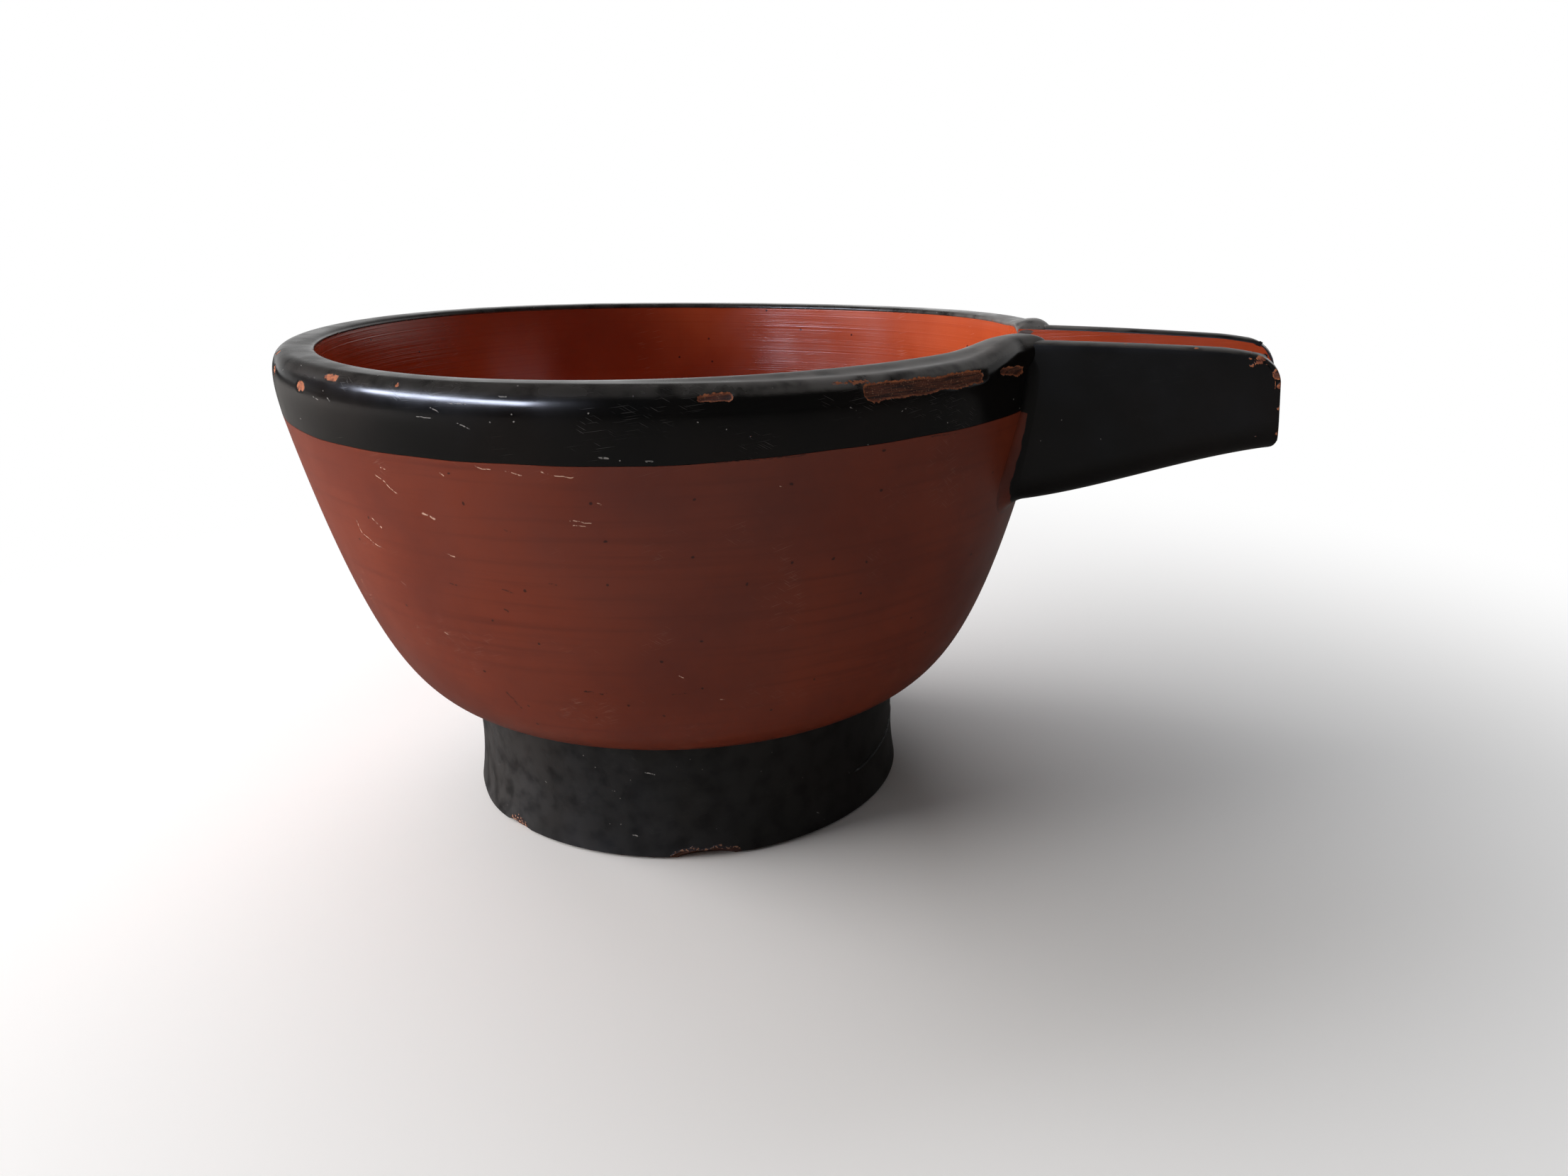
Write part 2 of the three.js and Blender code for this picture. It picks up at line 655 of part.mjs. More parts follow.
const pieces = {
  bowl_core: [makeBowlCore, woodFinish],
  foot_ring: [makeFootRing, woodFinish],
  spout_core: [makeSpoutCore, woodFinish],
  joint_filler: [makeJointFiller, fillerFinish],
  rim_black_lacquer: [makeRimBlack, blackFinish],
  outer_red_lacquer: [makeOuterRed, redFinish],
  inner_vermilion_lacquer: [makeInnerVermilion, vermilionFinish],
  foot_black_lacquer: [makeFootBlack, blackFinish],
  underside_black_lacquer: [makeUndersideBlack, blackFinish],
  spout_black_lacquer: [makeSpoutBlack, blackFinish],
  spout_vermilion_lacquer: [makeSpoutVermilion, vermilionFinish],
};
pinPlaces.forEach((place, i) => {
  pieces[`spout_pin_${i + 1}`] = [() => solidOf(pinGeometry(place, 0)), bambooFinish];
});

const pourer = new THREE.Group();
for (const [name, [make, finish]] of Object.entries(pieces)) {
  const mesh = new THREE.Mesh(geometryOf(make()), new THREE.MeshStandardMaterial(finish));
  mesh.name = name;
  pourer.add(mesh);
}
const reach = new THREE.Box3().setFromObject(pourer);
pourer.position.x = -(reach.min.x + reach.max.x) / 2;

const spoutedBowl = new THREE.Group();
spoutedBowl.add(pourer);
export default spoutedBowl;
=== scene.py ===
# Dresses the spouted lacquer bowl: fine turned coats, worn edges, chips, lacquer materials, light and camera.
import math
import bmesh
import bpy
import numpy as np
from mathutils import Matrix, Vector, noise


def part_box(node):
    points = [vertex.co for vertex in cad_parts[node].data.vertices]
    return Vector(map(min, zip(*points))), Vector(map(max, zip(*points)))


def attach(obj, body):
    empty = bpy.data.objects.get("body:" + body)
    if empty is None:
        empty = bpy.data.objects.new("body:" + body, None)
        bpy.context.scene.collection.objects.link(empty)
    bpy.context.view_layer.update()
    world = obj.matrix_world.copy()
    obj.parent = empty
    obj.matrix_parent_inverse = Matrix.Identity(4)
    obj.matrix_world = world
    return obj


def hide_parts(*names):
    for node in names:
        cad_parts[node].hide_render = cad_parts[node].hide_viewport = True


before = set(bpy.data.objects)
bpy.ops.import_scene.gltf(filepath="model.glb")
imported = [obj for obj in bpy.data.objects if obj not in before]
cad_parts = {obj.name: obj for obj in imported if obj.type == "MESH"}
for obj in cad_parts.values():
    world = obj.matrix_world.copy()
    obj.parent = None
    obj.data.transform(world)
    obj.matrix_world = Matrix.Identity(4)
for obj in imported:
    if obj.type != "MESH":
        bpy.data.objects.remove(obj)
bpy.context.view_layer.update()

mm = 0.001
ringLow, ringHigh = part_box("foot_ring")
axisX = (ringLow[0] + ringHigh[0]) / 2 / mm  # the bowl's axis, in millimetres along the part
mapRadius = 110  # the maps of turned pieces are measured this far from the axis, in millimetres


# Small helpers
def linear(code):
    # an sRGB hex value as a linear colour
    parts = [int(code[i:i + 2], 16) / 255 for i in (1, 3, 5)]
    return tuple(p / 12.92 if p <= 0.04045 else ((p + 0.055) / 1.055) ** 2.4 for p in parts) + (1.0,)


def smooth(x, low, high):
    t = np.clip((x - low) / (high - low), 0, 1)
    return t * t * (3 - 2 * t)


def hump(share):
    return 0.5 + 0.5 * np.cos(np.pi * np.minimum(share, 1))


def bezier(a, b, c, d, steps):
    a, b, c, d = (np.array(p, float) for p in (a, b, c, d))
    t = np.linspace(0, 1, steps + 1)[:, None]
    return (1 - t) ** 3 * a + 3 * (1 - t) ** 2 * t * b + 3 * (1 - t) * t * t * c + t ** 3 * d


def arc(a, b, c, steps):
    # a curve with one handle; the steps are a number, or places from 0 to 1
    a, b, c = (np.array(p, float) for p in (a, b, c))
    t = np.linspace(0, 1, steps + 1)[:, None] if isinstance(steps, int) else steps[:, None]
    return (1 - t) ** 2 * a + 2 * t * (1 - t) * b + t * t * c


def sunk(face, depth):
    # a profile moved into the wood, square to itself; points on the axis stay there
    ahead = np.vstack([face[1:], face[-1:]])
    behind = np.vstack([face[:1], face[:-1]])
    along = ahead - behind
    along /= np.linalg.norm(along, axis=1)[:, None]
    moved = face + depth * np.stack([-along[:, 1], along[:, 0]], 1)
    moved[:, 0] = np.where(face[:, 0] < 1e-6, 0, moved[:, 0])
    return moved


def arcLength(face):
    return np.concatenate([[0], np.cumsum(np.linalg.norm(np.diff(face, axis=0), axis=1))])


def ripple(points, size, seed):
    # smooth noise from -1 to 1 at places given in millimetres
    return np.array([noise.noise(Vector((p[0] / size + seed, p[1] / size, p[2] / size))) for p in points])


# The bowl's shape, in millimetres over the lacquer, as in the part's source
bowl = {
    "footHeight": 39.2, "footTop": 76.6, "footInner": 67.6, "footEdge": 0.8,
    "rimRadius": 125.0, "rimHeight": 157.1, "rimRoll": 5.5, "bandRadius": 124.1, "bandHeight": 138.5,
    "lipRadius": 112.7, "lipHeight": 155.4, "floor": 51.0, "coat": 1.0,
    "saddle": 1.25, "dip": 1.7, "dipAzimuth": -36, "dipSpread": 46,
    "mouthHalf": 20.6, "noseLength": 10, "noseSwell": 26, "noseTaper": 0.35,
    "rightNose": (3.0, 0.0, 5.5), "leftNose": (2.0, 4.2, 0.0),  # swell, drop and reach along the spout
    "bandSag": 1.0, "bandSagAzimuth": -67, "bandSagSpread": 20,
}
rollMiddle = (bowl["rimRadius"] + bowl["lipRadius"]) / 2
footJoin = (bowl["footTop"], bowl["footHeight"])
bandEdge = (bowl["bandRadius"], bowl["bandHeight"])
rimCrest = (bowl["rimRadius"] - bowl["rimRoll"], bowl["rimHeight"])
lip = (bowl["lipRadius"], bowl["lipHeight"])
outerFace = bezier(footJoin, (93, 44.2), (106.5, 52.6), bandEdge, 64)
rimOutside = bezier(bandEdge, (125.45, 147.8), (126.375, bowl["rimHeight"]), rimCrest, 44)
rimInside = bezier(rimCrest, (113.315, 157.3125), (112.454, 156.675), lip, 16)
innerFace = bezier(lip, (103.7, 61), (99.7, bowl["floor"]), (0, bowl["floor"]), 84)
bowlOutside = np.vstack([outerFace, rimOutside[1:]])


def wallShare(height):
    # 0 at the foot and 1 at the band's edge
    return np.clip((height - bowl["footHeight"]) / (bowl["bandHeight"] - bowl["footHeight"]), 0, 1)


def settled(radius, azimuth, height):
    # how the old wood has moved, and how the rolled rim ends at the mouth of the spout
    fromMouth = np.abs(rollMiddle * np.sin(azimuth)) - bowl["mouthHalf"]
    onWall = smooth(radius, 0, 100.4)
    onRim = smooth(height, bowl["bandHeight"], bowl["rimHeight"]) * onWall
    facing = np.where(np.cos(azimuth) > 0, onRim, 0)
    end = np.clip(1 - fromMouth / bowl["noseLength"], 0, 1)
    rounding = 1 - np.sqrt(1 - 0.95 * end * end)
    away = np.clip((fromMouth - bowl["noseLength"] / 2) / bowl["noseSwell"], 0, 1)
    right = np.mod(azimuth, 2 * np.pi) > np.pi
    swell, drop, reach = (np.where(right, a, b) for a, b in zip(bowl["rightNose"], bowl["leftNose"]))
    onRoll = smooth(height, bowl["rimHeight"] - 2 * bowl["rimRoll"], bowl["rimHeight"] - bowl["rimRoll"] / 2)
    r = radius - (radius - rollMiddle) * bowl["noseTaper"] * rounding * facing
    r = r + reach * end ** 1.7 * onRoll * smooth(radius, bowl["lipRadius"], bowl["rimRadius"]) * (facing > 0)
    onTop = smooth(radius, bowl["lipRadius"], bowl["rimRadius"] - bowl["rimRoll"])
    z = height + (swell * hump(away) * (0.45 + 0.55 * onTop) - drop * rounding) * facing
    fromDip = np.degrees(np.arccos(np.clip(np.cos(azimuth - math.radians(bowl["dipAzimuth"])), -1, 1)))
    z = z - bowl["dip"] * hump(fromDip / bowl["dipSpread"]) * onRim * (0.1 + 0.9 * onTop)
    z = z + bowl["saddle"] * np.cos(2 * azimuth) * wallShare(height) ** 2 * (radius / bowl["rimRadius"])
    # the painted edge of the band wavers, and sags at one side
    fromSag = np.degrees(np.arccos(np.clip(np.cos(azimuth - math.radians(bowl["bandSagAzimuth"])), -1, 1)))
    waver = -bowl["bandSag"] * hump(fromSag / bowl["bandSagSpread"]) + 0.22 * np.sin(5 * azimuth + 1)
    waver = waver + 0.12 * np.sin(11 * azimuth + 2) + 0.06 * np.sin(29 * azimuth)
    z = z + waver * (1 - smooth(np.abs(height - bowl["bandHeight"]), 0, 9)) * smooth(radius, 115, 122)
    return np.stack([r * np.cos(azimuth), r * np.sin(azimuth), z], 1)


# Drawing and turning, as at the lathe
weld = 0.004 * mm  # points nearer than this are one


def pickUp(piece):
    bpy.ops.object.select_all(action="DESELECT")
    piece.select_set(True)
    bpy.context.view_layer.objects.active = piece


def drawLine(name, points):
    # one point, drawn out along a line by extruding; the points are in millimetres
    bpy.ops.object.select_all(action="DESELECT")
    bpy.ops.mesh.primitive_plane_add(size=0.1 * mm, location=(0, 0, 0))
    piece = bpy.context.object
    piece.name = piece.data.name = name
    bpy.ops.object.mode_set(mode="EDIT")
    bpy.ops.mesh.select_mode(type="VERT")
    bpy.ops.mesh.select_all(action="SELECT")
    bpy.ops.mesh.merge(type="CENTER")
    bpy.ops.transform.translate(value=[float(v) * mm for v in points[0]])
    for a, b in zip(points, points[1:]):
        step = [float(v) * mm for v in np.subtract(b, a)]
        bpy.ops.mesh.extrude_region_move(TRANSFORM_OT_translate={"value": step})
    return piece


def coatSection(face, every):
    # a coat's closed section, its face and its back with fewer points, and how far along the face each point lies
    lengths = arcLength(face)
    return np.vstack([face, sunk(face, bowl["coat"])[::-every]]), np.concatenate([lengths, lengths[::-every]])


def turnedPiece(name, section, steps):
    # a section of radius and height, spun right round the axis
    piece = drawLine(name, [(r, 0, z) for r, z in section] + [(section[0][0], 0, section[0][1])])
    bpy.ops.mesh.select_all(action="SELECT")
    bpy.ops.mesh.spin(steps=steps, angle=2 * math.pi, center=(0, 0, 0), axis=(0, 0, 1))
    bpy.ops.mesh.select_all(action="SELECT")
    bpy.ops.mesh.remove_doubles(threshold=weld)
    bpy.ops.mesh.normals_make_consistent(inside=False)
    bpy.ops.object.mode_set(mode="OBJECT")
    return piece


def turnedCoat(name, section, lengths, steps):
    # a coat on its map, settled as the old bowl has
    piece = turnedPiece(name, section, steps)
    radius, azimuth, height = polar(readPoints(piece))
    which = nearestOn(section, radius, height)
    writePoints(piece, settled(radius, azimuth, height))
    writeMap(piece, azimuth, lengths[which], turned=True)
    return piece


def selectVertices(piece, wanted):
    # selects in edit mode by place
    bpy.ops.mesh.select_mode(type="VERT")
    mesh = bmesh.from_edit_mesh(piece.data)
    for vertex in mesh.verts:
        vertex.select = bool(wanted(vertex.co))
    mesh.select_flush(True)
    bmesh.update_edit_mesh(piece.data)


def readPoints(piece):
    points = np.empty(len(piece.data.vertices) * 3)
    piece.data.vertices.foreach_get("co", points)
    return points.reshape(-1, 3) / mm


def writePoints(piece, points):
    piece.data.vertices.foreach_set("co", (points * mm).ravel())
    piece.data.update()


def writeAttribute(piece, name, values):
    layer = piece.data.attributes.new(name, "FLOAT", "POINT")
    layer.data.foreach_set("value", np.asarray(values, float))


def polar(points):
    return np.hypot(points[:, 0], points[:, 1]), np.mod(np.arctan2(points[:, 1], points[:, 0]), 2 * np.pi), points[:, 2]


def signedDegrees(azimuth):
    degrees = np.degrees(azimuth)
    return np.where(degrees > 180, degrees - 360, degrees)


def nearestOn(section, radius, height):
    # which point of a section each vertex was turned from
    best = np.zeros(len(radius), int)
    for at in range(0, len(radius), 8000):
        rows = slice(at, at + 8000)
        gap = (radius[rows, None] - section[None, :, 0]) ** 2 + (height[rows, None] - section[None, :, 1]) ** 2
        best[rows] = gap.argmin(1)
    return best


def readWhole(items, name):
    values = np.empty(len(items), int)
    items.foreach_get(name, values)
    return values


def writeMap(piece, across, up, turned=False):
    # a UV map in millimetres, from two measures at each vertex; on a turned piece across is the azimuth
    corners = readWhole(piece.data.loops, "vertex_index")
    across, up = across[corners], up[corners]
    if turned:  # no face is torn where the azimuth starts again
        starts, totals = (readWhole(piece.data.polygons, name) for name in ("loop_start", "loop_total"))
        first = np.repeat(across[starts], totals)
        across = (across - 2 * np.pi * np.round((across - first) / (2 * np.pi))) * mapRadius
    layer = piece.data.uv_layers.new(name="turned")
    layer.data.foreach_set("uv", np.stack([across, up], 1).ravel())


def finishPiece(piece, material, slotName, *nodes):
    # the part's place goes into the mesh, and the piece stands for its CAD nodes
    pickUp(piece)
    bpy.ops.object.shade_smooth_by_angle(angle=math.radians(40))
    points = readPoints(piece)
    points[:, 0] += axisX
    writePoints(piece, points)
    piece.data.materials.clear()
    piece.data.materials.append(material)
    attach(piece, "root")
    if nodes:
        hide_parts(*nodes)
    print(piece.name, len(piece.data.polygons), "faces")


# Materials
soft = {"interpolation_type": "SMOOTHSTEP"}  # a mask that eases from 0 to 1
flat = {"noise_dimensions": "2D"}  # a pattern on the map, not in the solid


def node(tree, kind, inputs=None, out=0, **settings):
    # adds a shader node with its settings; an input is a number, a colour or another node's output
    made = tree.nodes.new("ShaderNode" + kind)
    for key, value in settings.items():
        setattr(made, key, value)
    for key, value in (inputs or {}).items():
        if isinstance(value, bpy.types.NodeSocket):
            tree.links.new(value, made.inputs[key])
        else:
            made.inputs[key].default_value = value
    return made.outputs[out] if made.outputs else None


def newMaterial(name):
    material = bpy.data.materials.new(name)
    material.use_nodes = True
    tree = material.node_tree
    tree.nodes.clear()
    return material, tree, node(tree, "TexCoord", out="Object")


def coatSurface(tree, colour, rough, bump, ior=1.54):
    # lacquer's index is 1.54, dry wood's 1.5
    relief = {"Normal": bump} if bump else {}
    skin = node(tree, "BsdfPrincipled", {"Base Color": colour, "Roughness": rough, "IOR": ior, **relief})
    node(tree, "OutputMaterial", {"Surface": skin})


def painted(tree, colour, *layers):
    # lays colours over one another, each where its own mask is 1
    for mask, over in layers:
        over = linear(over) if isinstance(over, str) else over
        colour = linear(colour) if isinstance(colour, str) else colour
        colour = node(tree, "Mix", {"Factor": mask, "A": colour, "B": over}, out="Result", data_type="RGBA")
    return colour


def patches(tree, place, scale, detail, low, high, **settings):
    # soft-edged patches: noise, cut between two levels
    cloud = node(tree, "TexNoise", {"Vector": place, "Scale": scale, "Detail": detail}, **settings)
    return node(tree, "MapRange", {0: cloud, 1: low, 2: high}, **soft)


def strokesOn(tree, place, length, width, detail):
    # brush strokes, grain or lathe rings: noise drawn out along the map, its size in millimetres
    drawn = node(tree, "Mapping", {"Vector": place, "Scale": (1 / length, 1 / width, 1)})
    return node(tree, "TexNoise", {"Vector": drawn, "Scale": 1.0, "Detail": detail}, **flat)


def wavered(tree, place, amount):
    # the map shaken a little, in millimetres, so that no mark is ruler straight
    wobble = node(tree, "TexNoise", {"Vector": place, "Scale": 0.3, "Detail": 2.0}, out="Color", **flat)
    offset = node(tree, "VectorMath", {0: wobble, 1: (0.5, 0.5, 0.5)}, operation="SUBTRACT")
    shift = node(tree, "VectorMath", {0: offset, 1: (amount, amount, 0)}, operation="MULTIPLY")
    return node(tree, "VectorMath", {0: place, 1: shift}, operation="ADD")


def satinOn(tree, solid, scale, detail, limits, scratch):
    # roughness wanders between two limits, and a scratch is duller
    satin = node(tree, "TexNoise", {"Vector": solid, "Scale": scale, "Detail": detail})
    rough = node(tree, "MapRange", {0: satin, 1: 0.3, 2: 0.7, 3: limits[0], 4: limits[1]})
    return node(tree, "Math", {0: rough, 1: scratch}, operation="ADD", use_clamp=True)


def brushedBump(tree, strokes, share, solid, scale, detail, strength, depth):
    # slow waves with a share of the strokes on them; the depth is in millimetres
    slow = node(tree, "TexNoise", {"Vector": solid, "Scale": scale, "Detail": detail})
    height = node(tree, "Math", {0: strokes, 1: share, 2: slow}, operation="MULTIPLY_ADD")
    return node(tree, "Bump", {"Height": height, "Strength": strength, "Distance": depth * mm})


def makeMarkGroup():
    # one straight mark on a map in millimetres: 1 along the segment, 0 beyond its half width
    group = bpy.data.node_groups.new("straightMark", "ShaderNodeTree")
    for name, kind in {"Map": "Vector", "From": "Vector", "To": "Vector", "Width": "Float", "Before": "Float"}.items():
        group.interface.new_socket(name, in_out="INPUT", socket_type="NodeSocket" + kind)
    group.interface.new_socket("Mark", in_out="OUTPUT", socket_type="NodeSocketFloat")
    given = group.nodes.new("NodeGroupInput").outputs
    start = node(group, "VectorMath", {0: given["Map"], 1: given["From"]}, operation="SUBTRACT")
    whole = node(group, "VectorMath", {0: given["To"], 1: given["From"]}, operation="SUBTRACT")
    reach = node(group, "VectorMath", {0: start, 1: whole}, out="Value", operation="DOT_PRODUCT")
    size = node(group, "VectorMath", {0: whole, 1: whole}, out="Value", operation="DOT_PRODUCT")
    share = node(group, "Math", {0: reach, 1: size}, operation="DIVIDE", use_clamp=True)
    foot = node(group, "VectorMath", {0: whole, "Scale": share}, operation="SCALE")
    gap = node(group, "VectorMath", {0: start, 1: foot}, out="Value", operation="DISTANCE")
    ratio = node(group, "Math", {0: gap, 1: given["Width"]}, operation="DIVIDE")
    mark = node(group, "MapRange", {0: ratio, 1: 1.0, 2: 0.45, 3: 0.0, 4: 1.0})
    most = node(group, "Math", {0: mark, 1: given["Before"]}, operation="MAXIMUM")
    group.links.new(most, group.nodes.new("NodeGroupOutput").inputs["Mark"])
    return group


markGroup = makeMarkGroup()


def marksOn(tree, place, marks, toMap):
    # chains straight marks, each (azimuth, height, azimuth, height, width), into one mask, and breaks them up
    mask = 0.0
    for fromAzimuth, fromHeight, toAzimuth, toHeight, width in marks:
        ends = {"From": toMap(fromAzimuth, fromHeight), "To": toMap(toAzimuth, toHeight)}
        mask = node(tree, "Group", {"Map": place, **ends, "Width": width / 2, "Before": mask}, node_tree=markGroup)
    breaks = patches(tree, place, 1.3, 2.0, 0.4, 0.56, **flat)
    return node(tree, "Math", {0: mask, 1: breaks}, operation="MULTIPLY")


def mapOf(face):
    # for marks: azimuth in degrees and height in millimetres become a place on the face's map
    lengths = arcLength(face)

    def toMap(azimuth, height):
        fromDip = abs(azimuth - bowl["dipAzimuth"]) / bowl["dipSpread"]
        rise = bowl["saddle"] * math.cos(2 * math.radians(azimuth)) * wallShare(height) ** 2
        rise -= bowl["dip"] * float(hump(fromDip) * smooth(height, bowl["bandHeight"], bowl["rimHeight"]))
        return math.radians(azimuth % 360) * mapRadius, float(np.interp(height - rise, face[:, 1], lengths)), 0
    return toMap


def hairlines(tree, place, turn, length, width, amount, seed):
    # hairline scratches: noise drawn out along one direction, kept where a slow noise is high
    turned = {"Rotation": (0, 0, math.radians(turn)), "Scale": (length, width, 1), "Location": (seed, seed * 2, 0)}
    drawn = node(tree, "Mapping", {"Vector": place, **turned}, vector_type="TEXTURE")
    fine = patches(tree, drawn, 1.0, 0.0, 1 - amount, 1 - amount + 0.05, **flat)
    patch = patches(tree, place, 0.045, 1.0, 0.54, 0.72, **flat)
    return node(tree, "Math", {0: fine, 1: patch}, operation="MULTIPLY")


def crossedHairs(tree, place, first, second, strength):
    lines, crossing = hairlines(tree, place, *first), hairlines(tree, place, *second)
    both = node(tree, "Math", {0: lines, 1: crossing}, operation="MAXIMUM")
    return node(tree, "Math", {0: both, 1: strength}, operation="MULTIPLY")


def specks(tree, place, spacing, size, share):
    # small round knocks, one in each of a share of the cells
    cells = node(tree, "TexVoronoi", {"Vector": place, "Scale": 1 / spacing}, out="Distance", voronoi_dimensions="2D")
    near = node(tree, "MapRange", {0: cells, 1: size / spacing * 0.6, 2: size / spacing, 3: 1.0, 4: 0.0}, **soft)
    channel = node(tree, "SeparateColor", {0: cells.node.outputs["Color"]})
    kept = node(tree, "Math", {0: channel, 1: 1 - share}, operation="GREATER_THAN")
    return node(tree, "Math", {0: near, 1: kept}, operation="MULTIPLY")


# Black urushi, brushed and polished by hand over a lacquer ground: deep, a little brown, satin and matt grey where it
# is handled, the grey also a painted sheen on the rim's top and the foot's lit side
blackFinish = {
    "deep": "#070707", "thin": "#120d0b", "undercoat": "#86462a", "edge": "#b4693f", "scratch": "#8f8b87",
    "bareWood": "#733d26", "woodPores": "#3e2217", "fibre": "#a8775a", "tornWood": "#2a1711", "shadedCrack": "#020202",
    "mattAndSheen": "#686563", "roughness": (0.13, 0.26), "wave": 14.0, "brushMark": (40, 0.9), "grain": (7, 0.55),
}


def blackUrushi(name, marks=(), toMap=None, wearAndSheen=False, chipped=False, torn=False, dusty=1.0, roughness=None):
    finish = blackFinish
    material, tree, solid = newMaterial(name)
    place = node(tree, "UVMap", uv_map="turned")
    colour = painted(tree, finish["deep"], (patches(tree, solid, 28.0, 4.0, 0.35, 0.7), finish["thin"]))
    wavering = wavered(tree, place, 1.0)
    scratch = crossedHairs(tree, place, (8, 7, 0.16, 0.19, 3), (-34, 5, 0.15, 0.18, 11), 0.2 * dusty)
    made = [specks(tree, wavering, 5.5, 0.2, 0.14 * dusty)] + ([marksOn(tree, wavering, marks, toMap)] if marks else [])
    for mark in made:
        scratch = node(tree, "Math", {0: scratch, 1: mark}, operation="MAXIMUM")
    colour = painted(tree, colour, (scratch, finish["scratch"]))
    rough = satinOn(tree, solid, 60.0, 5.0, roughness or finish["roughness"], scratch)
    if wearAndSheen:
        # the attribute is how matt handling has made the lacquer; the matt grey it paints is also a painted sheen of
        # the light on the rim's top near the spout and on the foot's lit left side
        handled = node(tree, "Attribute", out="Fac", attribute_name="wearAndSheen")
        handled = node(tree, "Math", {0: handled, 1: patches(tree, solid, 160.0, 5.0, 0.2, 0.62)}, operation="MULTIPLY")
        colour = painted(tree, colour, (handled, finish["mattAndSheen"]))
        rough = node(tree, "Math", {0: handled, 1: 0.26, 2: rough}, operation="MULTIPLY_ADD")
    strokes = strokesOn(tree, place, *finish["brushMark"], 2.0)
    bump = brushedBump(tree, strokes, 0.06, solid, 1 / finish["wave"] / mm, 2.0, 0.18, 0.6)
    if torn:
        # painted shade: the crack is painted near black, as shade sits down in its groove, and it is duller there
        shadedCrack = node(tree, "Attribute", out="Fac", attribute_name="shadedCrack")
        colour = painted(tree, colour, (shadedCrack, finish["shadedCrack"]))
        shadedCrack = node(tree, "Math", {0: shadedCrack, 1: 0.95}, operation="MULTIPLY")
        rough = node(tree, "Math", {0: rough, 1: shadedCrack}, operation="MAXIMUM")
    if chipped:
        # the chip attribute is how far inside a break a point lies, in millimetres
        inside = node(tree, "Attribute", out="Fac", attribute_name="chip")
        ragged = node(tree, "TexNoise", {"Vector": solid, "Scale": 1100.0, "Detail": 3.0})
        edge = node(tree, "Math", {0: ragged, 1: 0.9, 2: inside}, operation="MULTIPLY_ADD")
        broken = node(tree, "MapRange", {0: edge, 1: 0.42, 2: 0.52}, **soft)
        deep = node(tree, "MapRange", {0: edge, 1: 0.72, 2: 0.98}, **soft)
        grain = strokesOn(tree, place, *finish["grain"], 4.0)
        if torn:  # end grain, torn into tufts under a millimetre wide
            tufts = patches(tree, solid, 1300.0, 2.0, 0.5, 0.6)
            ground = wood = painted(tree, finish["tornWood"], (tufts, finish["fibre"]))
        else:
            wood = painted(tree, finish["woodPores"],
                           (node(tree, "MapRange", {0: grain, 1: 0.35, 2: 0.65}, **soft), finish["bareWood"]),
                           (patches(tree, solid, 2200.0, 2.0, 0.6, 0.7), finish["fibre"]))
            ground = painted(tree, finish["undercoat"],
                             (node(tree, "MapRange", {0: ragged, 1: 0.4, 2: 0.6}, **soft), finish["edge"]))
        colour = painted(tree, colour, (broken, painted(tree, ground, (deep, wood))))
        rough = node(tree, "Math", {0: rough, 1: broken}, operation="MAXIMUM")
        rough = node(tree, "Math", {0: rough, 1: 0.9}, operation="MINIMUM")
        fibres = node(tree, "Math", {0: grain, 1: broken}, operation="MULTIPLY")
        bump = node(tree, "Bump", {"Height": fibres, "Strength": 0.8, "Distance": 0.4 * mm, "Normal": bump})
    coatSurface(tree, colour, rough, bump)
    return material


# Red-brown urushi coloured with iron oxide, brushed over the ground and polished: clouded, crossed with old scratches
redFinish = {"body": "#80341d", "cloud": "#6f2a17", "dark": "#2a0f0b", "pale": "#cda58f", "roughness": (0.285, 0.4)}


def redUrushi(name, marks, darkMarks, toMap):
    finish = redFinish
    material, tree, solid = newMaterial(name)
    place = node(tree, "UVMap", uv_map="turned")
    wavering = wavered(tree, place, 1.2)
    strokes = strokesOn(tree, place, 60, 2.5, 3.0)
    dark = node(tree, "Math", {0: specks(tree, wavering, 11, 0.5, 0.22), 1: marksOn(tree, wavering, darkMarks, toMap)},
                operation="MAXIMUM")
    dark = node(tree, "Math", {0: dark, 1: 0.8}, operation="MULTIPLY")
    hair = crossedHairs(tree, place, (20, 7, 0.15, 0.19, 5), (-40, 5, 0.15, 0.18, 17), 0.3)
    scratch = node(tree, "Math", {0: hair, 1: marksOn(tree, wavering, marks, toMap)}, operation="MAXIMUM")
    colour = painted(tree, finish["body"], (patches(tree, solid, 22.0, 5.0, 0.3, 0.72), finish["cloud"]),
                     (node(tree, "MapRange", {0: strokes, 1: 0.45, 2: 0.9}, **soft), finish["cloud"]),
                     (dark, finish["dark"]), (scratch, finish["pale"]))
    rough = satinOn(tree, solid, 45.0, 6.0, finish["roughness"], scratch)
    coatSurface(tree, colour, rough, brushedBump(tree, strokes, 0.12, solid, 55.0, 2.0, 0.15, 0.6))
    return material


# Vermilion urushi coloured with cinnabar, turned and polished: glossy, with the lathe's fine rings under it
vermilionFinish = {
    "body": "#b34c28", "cloud": "#9c3a1a", "dark": "#4a150c", "pale": "#e0b8a0", "roughness": (0.13, 0.25),
    "rings": (220, 0.5),
}


